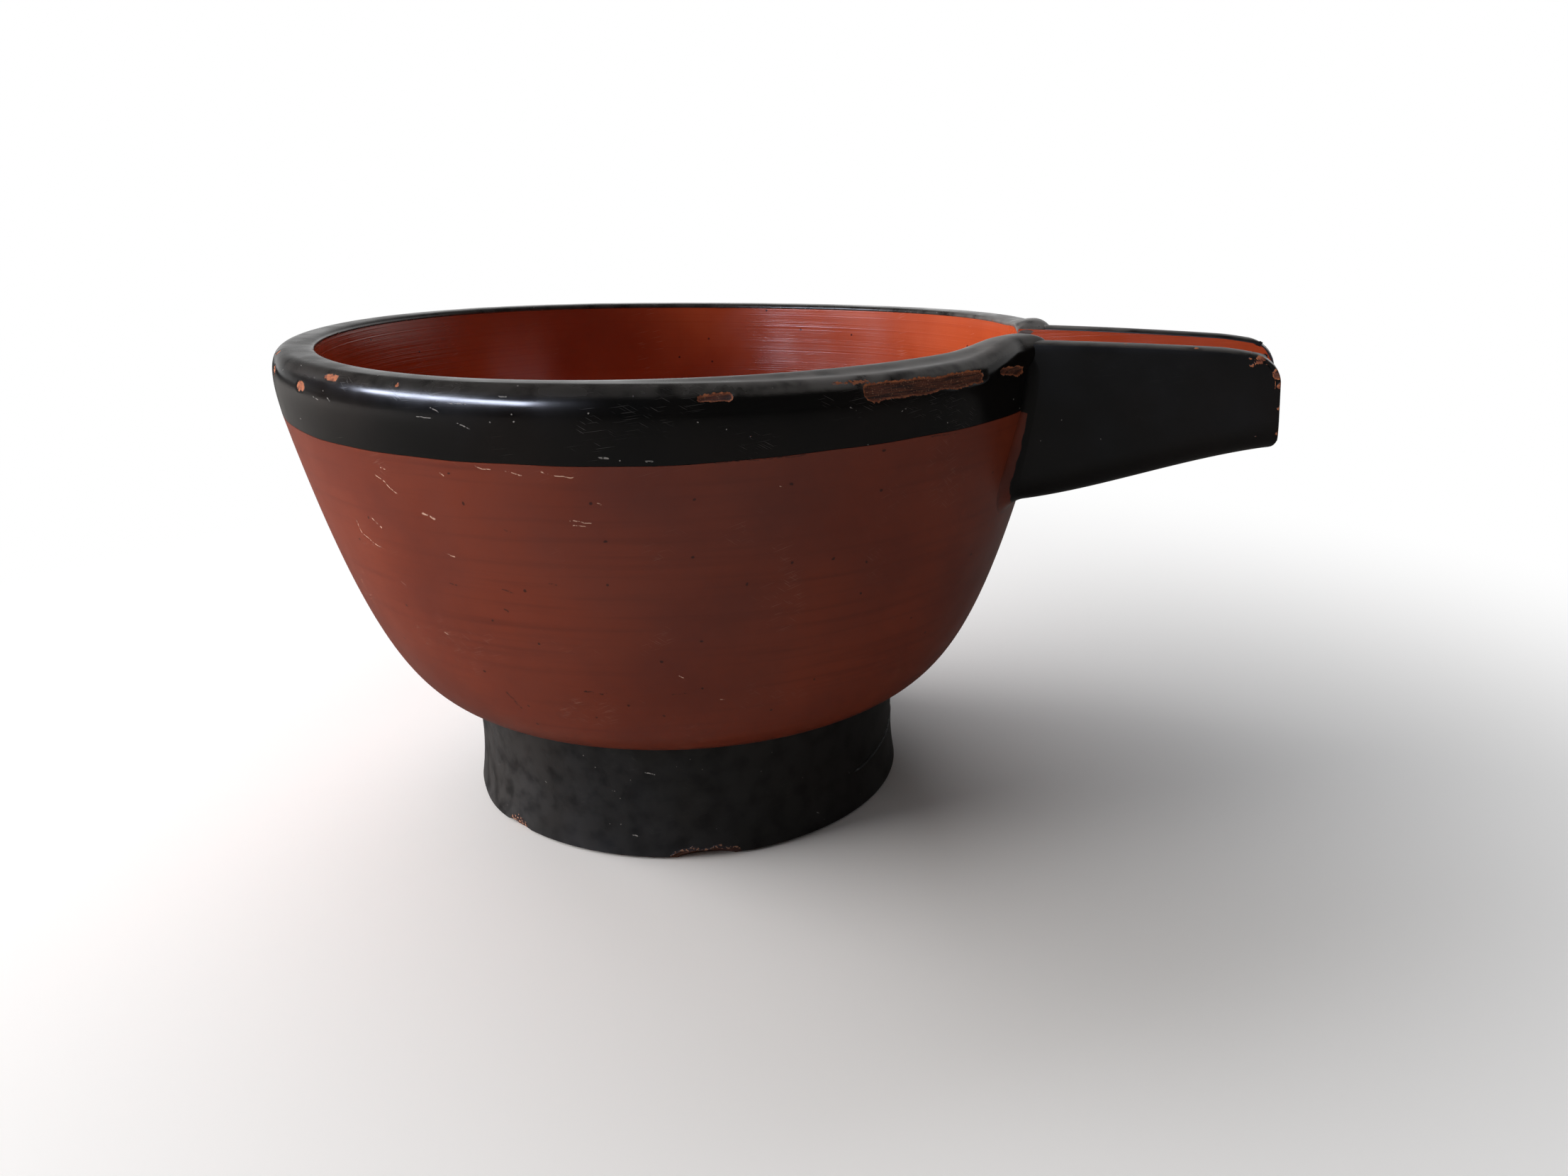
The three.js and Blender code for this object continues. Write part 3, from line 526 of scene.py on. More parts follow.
def vermilionUrushi(name):
    finish = vermilionFinish
    material, tree, solid = newMaterial(name)
    place = node(tree, "UVMap", uv_map="turned")
    rings = strokesOn(tree, place, *finish["rings"], 3.0)
    hair = hairlines(tree, place, 12, 9, 0.2, 0.2, 29)
    hair = node(tree, "Math", {0: hair, 1: 0.12}, operation="MULTIPLY")
    colour = painted(tree, finish["body"], (patches(tree, solid, 20.0, 5.0, 0.3, 0.7), finish["cloud"]),
                     (node(tree, "MapRange", {0: rings, 1: 0.5, 2: 0.95}, **soft), finish["cloud"]),
                     (specks(tree, place, 13, 0.55, 0.2), finish["dark"]), (hair, finish["pale"]))
    rough = satinOn(tree, solid, 50.0, 5.0, finish["roughness"], hair)
    coatSurface(tree, colour, rough, brushedBump(tree, rings, 0.35, solid, 40.0, 1.0, 0.3, 0.4))
    return material


# Horse chestnut, turned or carved and left bare under the coats: dry, with fine dark grain
def bareWood(name, across):
    material, tree, solid = newMaterial(name)
    drawn = node(tree, "Mapping", {"Vector": solid, "Scale": across})
    fibres = node(tree, "TexNoise", {"Vector": drawn, "Scale": 6.0, "Detail": 3.0})
    colour = painted(tree, "#7a4a2c", (patches(tree, drawn, 1.0, 5.0, 0.35, 0.65), "#5a3220"),
                     (node(tree, "MapRange", {0: fibres, 1: 0.5, 2: 0.75}, **soft), "#3c2116"))
    coatSurface(tree, colour, 0.78, node(tree, "Bump", {"Height": fibres, "Strength": 0.5, "Distance": 0.3 * mm}), 1.5)
    return material


# Split bamboo, whittled round: straight fibres along the pin
def splitBamboo(name):
    material, tree, solid = newMaterial(name)
    drawn = node(tree, "Mapping", {"Vector": solid, "Scale": (60, 2500, 2500)})  # 0.4 mm fibres
    coatSurface(tree, painted(tree, "#c4a66a", (patches(tree, drawn, 1.0, 2.0, 0.35, 0.65), "#9a7c46")), 0.6, None, 1.5)
    return material


# Camera and stage
camera = {
    "focal": 1564.22, "pitch": 0.3273, "roll": -0.0114, "yaw": 0.0942,  # pixels of a 2212-wide frame, and radians
    "height": 193.64, "distance": 383.21, "spoutTurn": -0.446,  # millimetres, and the spout's turn from the camera
}


def addCamera():
    turn = Matrix.Rotation(-camera["spoutTurn"], 3, "Z")
    pitch, yaw, roll = camera["pitch"], camera["yaw"], camera["roll"]
    forward = Vector((math.sin(yaw) * math.cos(pitch), math.cos(yaw) * math.cos(pitch), -math.sin(pitch)))
    right = Vector((math.cos(yaw), -math.sin(yaw), 0))
    up = right.cross(forward)
    side = math.cos(roll) * right + math.sin(roll) * up
    top = -math.sin(roll) * right + math.cos(roll) * up
    place = turn @ Vector((0, -camera["distance"], camera["height"]))
    facing = Matrix((turn @ side, turn @ top, turn @ -forward)).transposed().to_4x4()
    data = bpy.data.cameras.new("camera")
    data.sensor_width = 36
    data.lens = camera["focal"] / 2212 * 36
    data.clip_start, data.clip_end = 0.01, 60
    made = bpy.data.objects.new("camera", data)
    bpy.context.collection.objects.link(made)
    made.matrix_world = Matrix.Translation((place + Vector((axisX, 0, 0))) * mm) @ facing
    bpy.context.scene.camera = made
    return turn @ side, turn @ forward


cameraSide, cameraForward = addCamera()
level = Vector((cameraForward.x, cameraForward.y, 0)).normalized()
side = Vector((cameraSide.x, cameraSide.y, 0)).normalized()
middle = Vector((axisX * mm, 0, 0.09))

# Lights: where each stands, seen from the camera (right, back, up, in metres), its size and its power
lights = {
    "windowLeft": {"at": (-1.6, 0.05, 0.5), "size": (1.8, 0.9), "power": 52, "tint": "#fbf8f6", "glint": False},
    "windowGlint": {"at": (-1.3, -0.78, 0.6), "size": (1.5, 0.2), "power": 32, "tint": "#dfe8ff", "glint": True},
    "windowBehind": {"at": (-0.5, 1.2, 1.7), "size": (2.4, 1.4), "power": 21, "tint": "#fbfcff", "glint": False},
    "ceiling": {"at": (0.4, -0.6, 2.2), "size": (2.0, 1.6), "power": 4, "tint": "#ffffff", "glint": False},
}


def addLights():
    for name, lamp in lights.items():
        data = bpy.data.lights.new(name, "AREA")
        data.shape = "RECTANGLE"
        data.size, data.size_y = lamp["size"]
        data.energy = lamp["power"]
        data.color = linear(lamp["tint"])[:3]
        made = bpy.data.objects.new(name, data)
        bpy.context.collection.objects.link(made)
        made.visible_glossy, made.visible_diffuse = lamp["glint"], not lamp["glint"]
        right, back, up = lamp["at"]
        made.location = middle + side * right + level * back + Vector((0, 0, up))
        made.rotation_euler = (middle - made.location).to_track_quat("-Z", "Y").to_euler()


def addStage():
    # pale cloth-white floor, which keeps the shadow near the object and runs out to white
    bpy.ops.object.select_all(action="DESELECT")
    bpy.ops.mesh.primitive_plane_add(size=12, location=(0, 0, 0))
    floor = bpy.context.object
    floor.name = "floor"
    material, tree, solid = newMaterial("paintedFloor")
    glossy, seen = (node(tree, "LightPath", out=ray) for ray in ("Is Glossy Ray", "Is Camera Ray"))
    away = node(tree, "VectorMath", {0: solid}, out="Value", operation="LENGTH")
    share = node(tree, "MapRange", {0: away, 1: 0.14, 2: 0.5}, **soft)
    share = node(tree, "Math", {0: share, 1: seen}, operation="MULTIPLY")
    # painted shade: where the lacquer's gloss shows it, the cloth is painted dimmer, so its reflection in the lacquer
    # is darker
    cloth = painted(tree, "#eeedeb", (glossy, "#6f6d6b"), (seen, "#ffffff"))
    pale = node(tree, "BsdfDiffuse", {"Color": cloth})
    white = node(tree, "Emission", {"Color": (1, 1, 1, 1), "Strength": 1.0})
    mixed = node(tree, "MixShader", {0: share, 1: pale, 2: white})
    node(tree, "OutputMaterial", {"Surface": mixed})
    floor.data.materials.append(material)


def addWorld():
    # gloss shows the white low behind the bowl, and a dim room above and before it
    world = bpy.data.worlds.new("studio")
    bpy.context.scene.world = world
    world.use_nodes = True
    sky = world.node_tree
    sky.nodes.clear()
    glossy, seen = (node(sky, "LightPath", out=ray) for ray in ("Is Glossy Ray", "Is Camera Ray"))
    room = node(sky, "Background", {"Color": linear("#b9b7b4"), "Strength": 0.17})
    dim = node(sky, "Background", {"Color": linear("#8d8a88"), "Strength": 0.16})
    white = node(sky, "Background", {"Color": (1, 1, 1, 1), "Strength": 1.0})
    direction = node(sky, "TexCoord", out="Generated")
    back = node(sky, "VectorMath", {0: direction, 1: tuple(level)}, out="Value", operation="DOT_PRODUCT")
    right = node(sky, "VectorMath", {0: direction, 1: tuple(side)}, out="Value", operation="DOT_PRODUCT")
    raised = node(sky, "SeparateXYZ", {0: direction}, out=2)
    slanted = node(sky, "Math", {0: right, 1: -0.45, 2: raised}, operation="MULTIPLY_ADD")
    behind = node(sky, "MapRange", {0: back, 1: -0.1, 2: 0.8}, **soft)
    low = node(sky, "MapRange", {0: slanted, 1: 0.1, 2: 0.58, 3: 1.0, 4: 0.0}, **soft)
    bright = node(sky, "Math", {0: behind, 1: low}, operation="MULTIPLY")
    shown = node(sky, "MixShader", {0: bright, 1: dim, 2: white})
    gloss = node(sky, "MixShader", {0: glossy, 1: room, 2: shown})
    both = node(sky, "MixShader", {0: seen, 1: gloss, 2: white})
    node(sky, "OutputWorld", {"Surface": both})


addLights()
addStage()
addWorld()
bpy.context.scene.view_settings.view_transform = "Standard"
print("camera, lights and stage are set")


# Outside of the bowl: red-brown coat from the foot to the band
redCoat = {
    "steps": 480,
    # pale scratches and dark marks: azimuth, height, azimuth, height, width
    "scratches": [
        (-103.8, 130.5, -101.0, 126.0, 0.35), (-102.6, 133.0, -101.8, 132.4, 0.4), (-87.9, 135.9, -86.0, 135.4, 0.4),
        (-84.2, 135.0, -82.2, 134.4, 0.35), (-80.0, 135.4, -79.2, 134.9, 0.45), (-78.6, 134.6, -76.2, 134.2, 0.35),
        (-77.5, 122.4, -74.8, 122.0, 0.4), (-77.2, 121.2, -75.4, 121.0, 0.3), (-97.4, 121.4, -95.8, 120.4, 0.9),
        (-108.2, 117.0, -106.6, 114.4, 0.5), (-112.8, 114.4, -112.6, 111.2, 0.3), (-112.6, 111.2, -110.6, 109.0, 0.3),
        (-110.6, 109.0, -108.1, 108.0, 0.3), (-95.6, 110.2, -94.4, 109.6, 0.4), (-93.0, 133.4, -92.6, 132.6, 0.3),
        (-74.0, 127.4, -73.6, 126.8, 0.3), (-66.0, 76.0, -65.2, 75.4, 0.4), (-59.8, 66.4, -59.0, 66.2, 0.3),
        (-107.0, 98.0, -106.2, 97.0, 0.35), (-101.6, 84.0, -100.8, 83.2, 0.35), (-53.0, 130.0, -52.6, 129.0, 0.25),
    ],
    "darkMarks": [
        (-70.0, 138.0, -50.0, 137.6, 0.3), (-33.0, 138.3, -28.0, 138.0, 0.3), (-88.4, 101.4, -87.0, 100.8, 0.6),
        (-89.0, 95.6, -88.4, 94.8, 0.6), (-97.0, 101.2, -95.6, 101.0, 0.4), (-81.6, 104.6, -80.6, 104.2, 0.4),
        (-86.0, 119.0, -85.2, 118.6, 0.5), (-94.0, 66.0, -92.6, 60.4, 1.0), (-80.0, 70.0, -78.8, 69.8, 0.7),
        (-78.0, 69.4, -76.6, 69.6, 0.6), (-67.0, 69.4, -64.8, 69.2, 0.5),
    ],
}


def makeRedCoat():
    face = outerFace.copy()
    face[0] += (0.25, 0.1)
    face[-1] -= (0.0, 0.06)
    piece = turnedCoat("redBrownCoat", *coatSection(face, 6), redCoat["steps"])
    cutMouth(piece, 0.8)
    material = redUrushi("benigaraUrushi", redCoat["scratches"], redCoat["darkMarks"], mapOf(outerFace))
    finishPiece(piece, material, "red_lacquer", "outer_red_lacquer")


# Black band over the rolled rim, with its chips
band = {
    "steps": 760, "crowding": 0.45, "crowdedAt": -80, "chipDepth": 0.8,
    "endRows": (0, 0.05, 0.25, 0.6, 1.1, 1.8, 2.7), "endLow": 155.5,  # the last rows at each end, and the lining's edge
    "noseRounds": (3.4, 8.0), "noseLevel": (157.6, 158.6),
    "slope": 16.0, "slopeOut": 2.2, "slopeDrop": 2.4,  # the far end's: how long, how far out and how far down
    # breaks in the black: from and to azimuth, height at both ends, tallness at both ends, how deep (1 is to the wood)
    "chips": [
        (-43.0, -23.9, 151.6, 152.2, 5.0, 3.2, 1.0), (-47.0, -41.4, 154.4, 154.1, 1.1, 0.9, 0.4),
        (-20.4, -14.0, 152.4, 151.0, 2.6, 2.4, 0.9), (-62.3, -58.4, 152.6, 153.0, 1.9, 2.1, 0.9),
        (-118.6, -116.2, 151.0, 151.0, 2.8, 3.0, 0.8), (-111.8, -108.8, 154.6, 154.6, 1.2, 1.4, 0.6),
        (-131.6, -130.4, 152.2, 152.0, 2.4, 2.6, 0.7), (-135.8, -134.4, 156.0, 156.0, 1.2, 1.2, 0.6),
        (-98.2, -97.6, 154.6, 154.6, 0.9, 0.9, 0.5), (-72.4, -72.1, 154.2, 154.2, 0.5, 0.5, 0.3),
        (-69.4, -69.1, 153.6, 153.6, 0.5, 0.4, 0.3), (-56.8, -56.4, 143.4, 143.2, 0.8, 0.6, 0.3),
    ],
    "scratches": [
        (-95.0, 147.6, -92.6, 147.2, 0.25), (-92.6, 150.0, -91.4, 148.8, 0.3), (-90.4, 151.4, -88.2, 151.0, 0.25),
        (-89.2, 146.4, -87.6, 145.4, 0.3), (-113.6, 149.0, -112.6, 148.4, 0.3), (-110.2, 149.6, -109.8, 148.8, 0.3),
        (-84.0, 153.4, -83.2, 153.0, 0.3), (-73.2, 139.6, -72.2, 139.4, 0.5), (-68.0, 138.8, -67.4, 138.6, 0.6),
        (-45.0, 148.6, -44.2, 147.8, 0.3), (-38.0, 146.2, -37.4, 146.6, 0.3),
    ],
}


def bandAzimuths(steps):
    # the turns crowd together at the front, and again round both noses of the rim
    u = np.linspace(0, 1, steps + 1)
    mouth = math.asin(bowl["mouthHalf"] / rollMiddle)
    even = mouth + u * (2 * np.pi - 2 * mouth)
    between = smooth(u, 0, 0.1) * smooth(1 - u, 0, 0.1)
    return even - band["crowding"] * np.sin(even - math.radians(band["crowdedAt"])) * between


def chipDepths(azimuth, height, place):
    # how far inside a chip each point lies, in millimetres, and how deep the chip is there
    inside = np.full(len(azimuth), -3.0)
    deep = np.zeros(len(azimuth))
    degrees = np.degrees(azimuth) - 360
    near = np.nonzero((degrees > -140) & (degrees < -12) & (height > 141))[0]
    ragged = np.zeros(len(azimuth))
    ragged[near] = 0.7 * ripple(place[near], 4.0, 4) + 0.25 * ripple(place[near], 1.3, 9)
    for start, stop, low, high, tall, small, depth in band["chips"]:
        share = np.clip((degrees - start) / (stop - start), 0, 1)
        half = (tall + (small - tall) * share) / 2
        above = place[near, 2] - (low + (high - low) * share[near])
        sideways = np.minimum(degrees - start, stop - degrees) * math.radians(rollMiddle + 5)
        reach = np.full(len(azimuth), -3.0)
        reach[near] = half[near] - np.hypot(above, np.maximum(half[near] - sideways[near], 0))
        reach = (reach if depth > 0.45 else reach * 0.5 - 0.1) + ragged * min(1, tall / 3)
        reach = np.minimum(reach, 3 if depth > 0.85 else 0.2)  # a shallow one doesn't reach the wood
        deep = np.where(reach > inside, depth, deep)
        inside = np.maximum(inside, reach)
    return inside, deep


def openRing(name, section, steps, whole):
    # a section spun nearly right round, with a face to close each end
    piece = drawLine(name, [(r, 0, z) for r, z in section] + [(section[0][0], 0, section[0][1])])
    bpy.ops.mesh.select_all(action="SELECT")
    bpy.ops.mesh.remove_doubles(threshold=weld)
    bpy.ops.mesh.select_all(action="SELECT")
    bpy.ops.mesh.spin(steps=steps, angle=whole, center=(0, 0, 0), axis=(0, 0, 1))
    bpy.ops.object.mode_set(mode="OBJECT")
    bpy.ops.object.mode_set(mode="EDIT")
    for end in (0, whole):
        selectVertices(piece, lambda co: any(
            abs(math.sin((math.atan2(co.y, co.x) - way * end) / 2)) < 1e-4 for way in (1, -1)))
        bpy.ops.mesh.edge_face_add()
    bpy.ops.mesh.select_all(action="SELECT")
    bpy.ops.mesh.normals_make_consistent(inside=False)
    bpy.ops.object.mode_set(mode="OBJECT")
    return piece


def shapeNoses(place, radius, height, isFace):
    # each end closes like the tip of a thumb, over the spout's edge
    fromMouth = np.abs(place[:, 1]) - bowl["mouthHalf"]
    blunt = np.sqrt(np.clip(1 - (1 - np.clip(fromMouth / band["noseRounds"][0], 0, 1)) ** 2, 0, 1))
    gentle = smooth(fromMouth, -2, band["noseRounds"][1])
    closed = np.where(place[:, 1] < 0, blunt, gentle)
    closed = np.where((place[:, 0] > 0) & isFace, closed, 1)
    crest = np.where(place[:, 1] < 0, *band["noseLevel"])
    place[:, 2] = np.where(place[:, 2] > crest, crest + (place[:, 2] - crest) * closed, place[:, 2])
    # the far end slopes away outwards, down to the spout's edge
    sloped = smooth(band["slope"] - fromMouth, 0, band["slope"]) * smooth(radius, 115, 124.5)
    sloped = np.where((place[:, 0] > 0) & (place[:, 1] > 0) & isFace & (height > 145), sloped, 0)
    place[:, 0] += band["slopeOut"] * sloped
    place[:, 2] -= band["slopeDrop"] * sloped * smooth(place[:, 2], 150, 157)


def makeBand():
    face = np.vstack([rimOutside, rimInside[1:]])
    face[0] += (0.0, 0.06)
    section, lengths = coatSection(face, 3)
    whole = 1.9 * math.pi
    piece = openRing("rimBand", section, band["steps"], whole)
    radius, turn, height = polar(readPoints(piece))
    turn = np.where(turn > 2 * np.pi - 1e-4, 0, turn)
    if turn.max() > whole + 0.01:  # the spin went the other way
        turn = np.mod(-turn, 2 * np.pi)
    turnNumber = np.round(turn / whole * band["steps"]).astype(int)
    which = nearestOn(section, radius, height)
    radius, height = section[which, 0], section[which, 1]
    azimuth = bandAzimuths(band["steps"])[turnNumber]
    # the two ends stand flat against the mouth, and close over the lining's top edge
    fromEnd = np.minimum(turnNumber, band["steps"] - turnNumber)
    sign = np.where(turnNumber < band["steps"] / 2, 1.0, -1.0)
    low, last = band["endLow"], len(band["endRows"]) - 1
    opening = np.array(band["endRows"])[np.minimum(fromEnd, last)]
    stand = bowl["mouthHalf"] + (1 - smooth(height, low - 0.9, low)) + opening
    flat = np.arcsin(np.clip(stand / radius, -1, 1))
    away = np.where(sign > 0, azimuth, 2 * np.pi - azimuth)
    away = np.where(fromEnd <= last, flat, np.maximum(away, flat + 0.002 * (fromEnd - last)))
    azimuth = np.where(sign > 0, away, 2 * np.pi - away)
    isFace = which < len(face)
    filled = ~isFace & (fromEnd <= 2) & (height > low)
    place = settled(radius, azimuth, np.where(filled, low, height))
    shapeNoses(place, radius, height, isFace)
    inside, deep = chipDepths(azimuth, height, place)
    onLip = (which >= len(face) - 4) & isFace & (fromEnd > 8)
    inside[onLip] = np.maximum(inside[onLip], -0.3 + 0.4 * ripple(place[onLip], 2.6, 21))
    inside[~isFace] = -3
    depth = band["chipDepth"] * deep * smooth(inside, -0.1, 0.7)
    # normals of the profile, to press the chips in along
    normal = face - sunk(face, 1.0)
    out = np.zeros((len(radius), 2))
    out[isFace] = normal[which[isFace]]
    depth = depth * (1 + 0.25 * np.sin(height * 3 + azimuth * 90))
    place[:, 0] -= out[:, 0] * np.cos(azimuth) * depth
    place[:, 1] -= out[:, 0] * np.sin(azimuth) * depth
    place[:, 2] -= out[:, 1] * depth
    writePoints(piece, place)
    writeAttribute(piece, "chip", inside)
    turned = signedDegrees(azimuth)
    # the rim's top is worn matt, most near the spout, and painted grey there as a painted sheen of the light its noses
    # catch
    handled = 0.25 + 0.75 * smooth(turned, -72, -44) * (1 - smooth(turned, 24, 60))
    writeAttribute(piece, "wearAndSheen", handled * smooth(height, 153.7, 155.2) * isFace)
    writeMap(piece, azimuth, lengths[which], turned=True)
    material = blackUrushi("kuroUrushiRim", band["scratches"], mapOf(rimOutside), chipped=True, wearAndSheen=True)
    finishPiece(piece, material, "black_lacquer", "rim_black_lacquer")


makeBand()

# Spout: black outside and vermilion channel
spout = {
    "rootWidth": 53.8, "tipWidth": 43.6, "rootDepth": 46.9, "tipDepth": 25.2, "top": 157.3, "droop": 1.7,
    "tip": 189.2, "wall": 6.3, "floor": 7.0, "edgeRound": 1.1, "flare": 3.0, "keelRound": 9.0, "channelRound": 7.0,
    "coat": 0.7, "tipTopRound": 6.5, "tipKeelRound": 3.0, "tipLean": 2.6, "endRound": 0.8, "liningDrop": 1.2,
    "stations": 64, "endRows": 9, "liningRows": 40, "lift": (1.4, 1.1),
    # knocks and worn places: from the bowl's axis, across and up, and how far each reaches
    "chips": [
        (182.0, -21.8, 154.8, 1.3), (180.4, -21.8, 153.6, 0.9), (178.8, -21.8, 155.6, 0.7), (186.8, -21.6, 151.2, 1.3),
        (187.8, -21.4, 148.0, 0.9), (188.4, -21.0, 142.2, 0.7), (147.4, -23.2, 158.2, 0.5), (166.0, -22.6, 157.6, 0.5),
        (188.6, -19.6, 135.4, 0.5), (183.5, -19.8, 134.0, 0.5),
    ],
}
rootKeel = spout["top"] - spout["rootDepth"]
tipKeel = spout["top"] - spout["droop"] - spout["tipDepth"]
spoutRoot = float(np.interp(rootKeel, outerFace[:, 1], outerFace[:, 0]))
keelLine = bezier((spoutRoot, rootKeel), (spoutRoot + 24, rootKeel + 24 * 0.17),
                  (spout["tip"] - 24, tipKeel - 24 * 0.18), (spout["tip"], tipKeel), 80)


def spoutShare(x):
    return (x - spoutRoot) / (spout["tip"] - spoutRoot)


def halfWidth(x):
    return (spout["rootWidth"] + (spout["tipWidth"] - spout["rootWidth"]) * spoutShare(x)) / 2


def edgeHeight(x):
    return spout["top"] - spout["droop"] * np.maximum(spoutShare(x), 0) ** 2


def lifted(part, share, sign, x):
    # the near wall of the old spout stands higher than the far one, all but its tip
    weight = {"lip": 1, "edge": 1, "side": 1 - share}.get(part, 0)
    return np.where(sign < 0, *spout["lift"]) * weight * (1 - smooth(x, spout["tip"] - 18, spout["tip"] - 1))


def keelHeight(x):
    return np.interp(x, keelLine[:, 0], keelLine[:, 1])


def surfaceX(y, z):
    # where the bowl's outer face lies at a place across and up
    x = np.interp(z, bowlOutside[:, 1], bowlOutside[:, 0])
    for _ in range(3):
        drawn = z - bowl["saddle"] * np.cos(2 * np.arctan2(y, x)) * wallShare(z) ** 2
        x = np.sqrt(np.interp(drawn, bowlOutside[:, 1], bowlOutside[:, 0]) ** 2 - y ** 2)
    return x


def innerX(y, z):
    # where its inner face lies there
    face = innerFace[::-1]
    return np.sqrt(np.interp(z - bowl["saddle"] * wallShare(z) ** 2, face[:, 1], face[:, 0]) ** 2 - y ** 2)


# Half outlines are lists of (part, share): each point knows which part of the section it belongs to
def outlineParts(isChannel):
    parts = []
    if not isChannel:
        parts += [("lip", s) for s in np.linspace(0, 1, 4)[:-1]]
        parts += [("edge", s) for s in np.linspace(0, 1, 15)[:-1]]
    parts += [("side", s) for s in np.linspace(0, 1, 15 if isChannel else 17)[:-1]]
    parts += [("corner", s) for s in np.linspace(0, 1, 11)[:-1]]
    parts += [("bottom", s) for s in np.linspace(0, 1, 8)]
    return parts


def outlineAt(part, share, x, half, low, rounding, lipBottom, innerHalf):
    # a point of the section at x: across and up
    top = edgeHeight(x)
    r = spout["edgeRound"]
    rise = low + rounding
    drawn = spout["flare"] * (top - rise) / spout["rootDepth"]
    if part == "lip":
        return innerHalf + 0 * x, top - lipBottom + (lipBottom - r) * share
    if part == "edge":
        angle = math.pi * (1 - share)
        across = innerHalf + (half - innerHalf) / 2 + (half - innerHalf) / 2 * math.cos(angle)
        return across, top - r + r * math.sin(angle)
    if part == "side":
        return half - drawn * share, (top - r) + (rise - top + r) * share
    if part == "corner":
        angle = -math.pi / 2 * share
        return half - drawn - rounding + rounding * math.cos(angle), rise + rounding * math.sin(angle)
    return (half - drawn - rounding) * (1 - share), low + 0 * x


def tipX(z, x):
    # the tip as it is seen from the side
    end, lean = spout["tip"], spout["tipLean"]
    topRound, keelRound = spout["tipTopRound"], spout["tipKeelRound"]
    high = edgeHeight(end - lean - topRound)
    low = keelHeight(end - keelRound)
    keel = arc((end - keelRound, low), (end - 0.5, low), (end, low + keelRound), 8)
    top = arc((end - lean / 2, high - topRound), (end - lean, high - 1.1), (end - lean - topRound, high), 8)
    curve = np.vstack([keel, top])
    return np.interp(z, curve[:, 1], curve[:, 0])


def sweepPiece(name, count, stations):
    # a line of points, extruded once for each station; the rows and columns are moved into place afterwards
    piece = drawLine(name, [(0, i, 0) for i in range(count)])
    for at in range(stations):
        selectVertices(piece, lambda co: abs(co.x / mm - at) < 0.01)
        bpy.ops.mesh.extrude_region_move(TRANSFORM_OT_translate={"value": (mm, 0, 0)})
    bpy.ops.object.mode_set(mode="OBJECT")
    points = readPoints(piece)
    return piece, np.round(points[:, 0]).astype(int), np.round(points[:, 1]).astype(int)


def sweepHalves(name, parts, stations):
    # swept from a half outline and its mirror image; says each point's side and its place in the half outline
    last = len(parts) - 1
    piece, row, column = sweepPiece(name, 2 * last + 1, stations)
    near = column <= last
    return piece, row, np.where(near, 1.0, -1.0), np.where(near, column, 2 * last - column)


def faceOutward(piece, towards):
    # turns an open sheet's faces so that, all together, they look one way
    pickUp(piece)
    bpy.ops.object.mode_set(mode="EDIT")
    bpy.ops.mesh.select_all(action="SELECT")
    bpy.ops.mesh.normals_make_consistent(inside=False)
    bpy.ops.object.mode_set(mode="OBJECT")
    if sum(face.normal.dot(Vector(towards)) * face.area for face in piece.data.polygons) < 0:
        piece.data.flip_normals()


def thicken(piece, thickness):
    # an open sheet gets its thickness inwards
    pickUp(piece)
    shell = piece.modifiers.new("coat", "SOLIDIFY")
    shell.thickness, shell.offset = thickness * mm, -1
    bpy.ops.object.modifier_apply(modifier="coat")


mouthCutter = {"sectionAt": 12.0, "start": 70, "length": 70, "top": 190.0}


def cutMouth(piece, grown):
    # a block with the channel's section, grown by a little, cuts the mouth of the bowl
    start = mouthCutter["start"]
    at = spoutRoot - mouthCutter["sectionAt"]
    half = [outlineAt(part, share, at, halfWidth(at) - spout["wall"] + grown, rootKeel + spout["floor"] - grown,
                      spout["channelRound"] + grown, 0, 0) for part, share in outlineParts(True)]
    half = [(float(a), float(b)) for a, b in half]
    half[0] = (half[0][0], mouthCutter["top"])
    line = [(start, a, b) for a, b in half] + [(start, -a, b) for a, b in half[::-1][1:]]
    cutter = drawLine("mouthCutter", line + [line[0]])
    bpy.ops.mesh.select_all(action="SELECT")
    bpy.ops.mesh.remove_doubles(threshold=weld)
    bpy.ops.mesh.select_all(action="SELECT")
    bpy.ops.mesh.edge_face_add()
    bpy.ops.mesh.extrude_region_move(TRANSFORM_OT_translate={"value": (mouthCutter["length"] * mm, 0, 0)})
    bpy.ops.mesh.select_all(action="SELECT")
    bpy.ops.mesh.normals_make_consistent(inside=False)
    bpy.ops.object.mode_set(mode="OBJECT")
    pickUp(piece)
    cut = piece.modifiers.new("mouth", "BOOLEAN")
    cut.operation, cut.object, cut.solver = "DIFFERENCE", cutter, "MANIFOLD"
    bpy.ops.object.modifier_apply(modifier="mouth")
    bpy.data.objects.remove(cutter)


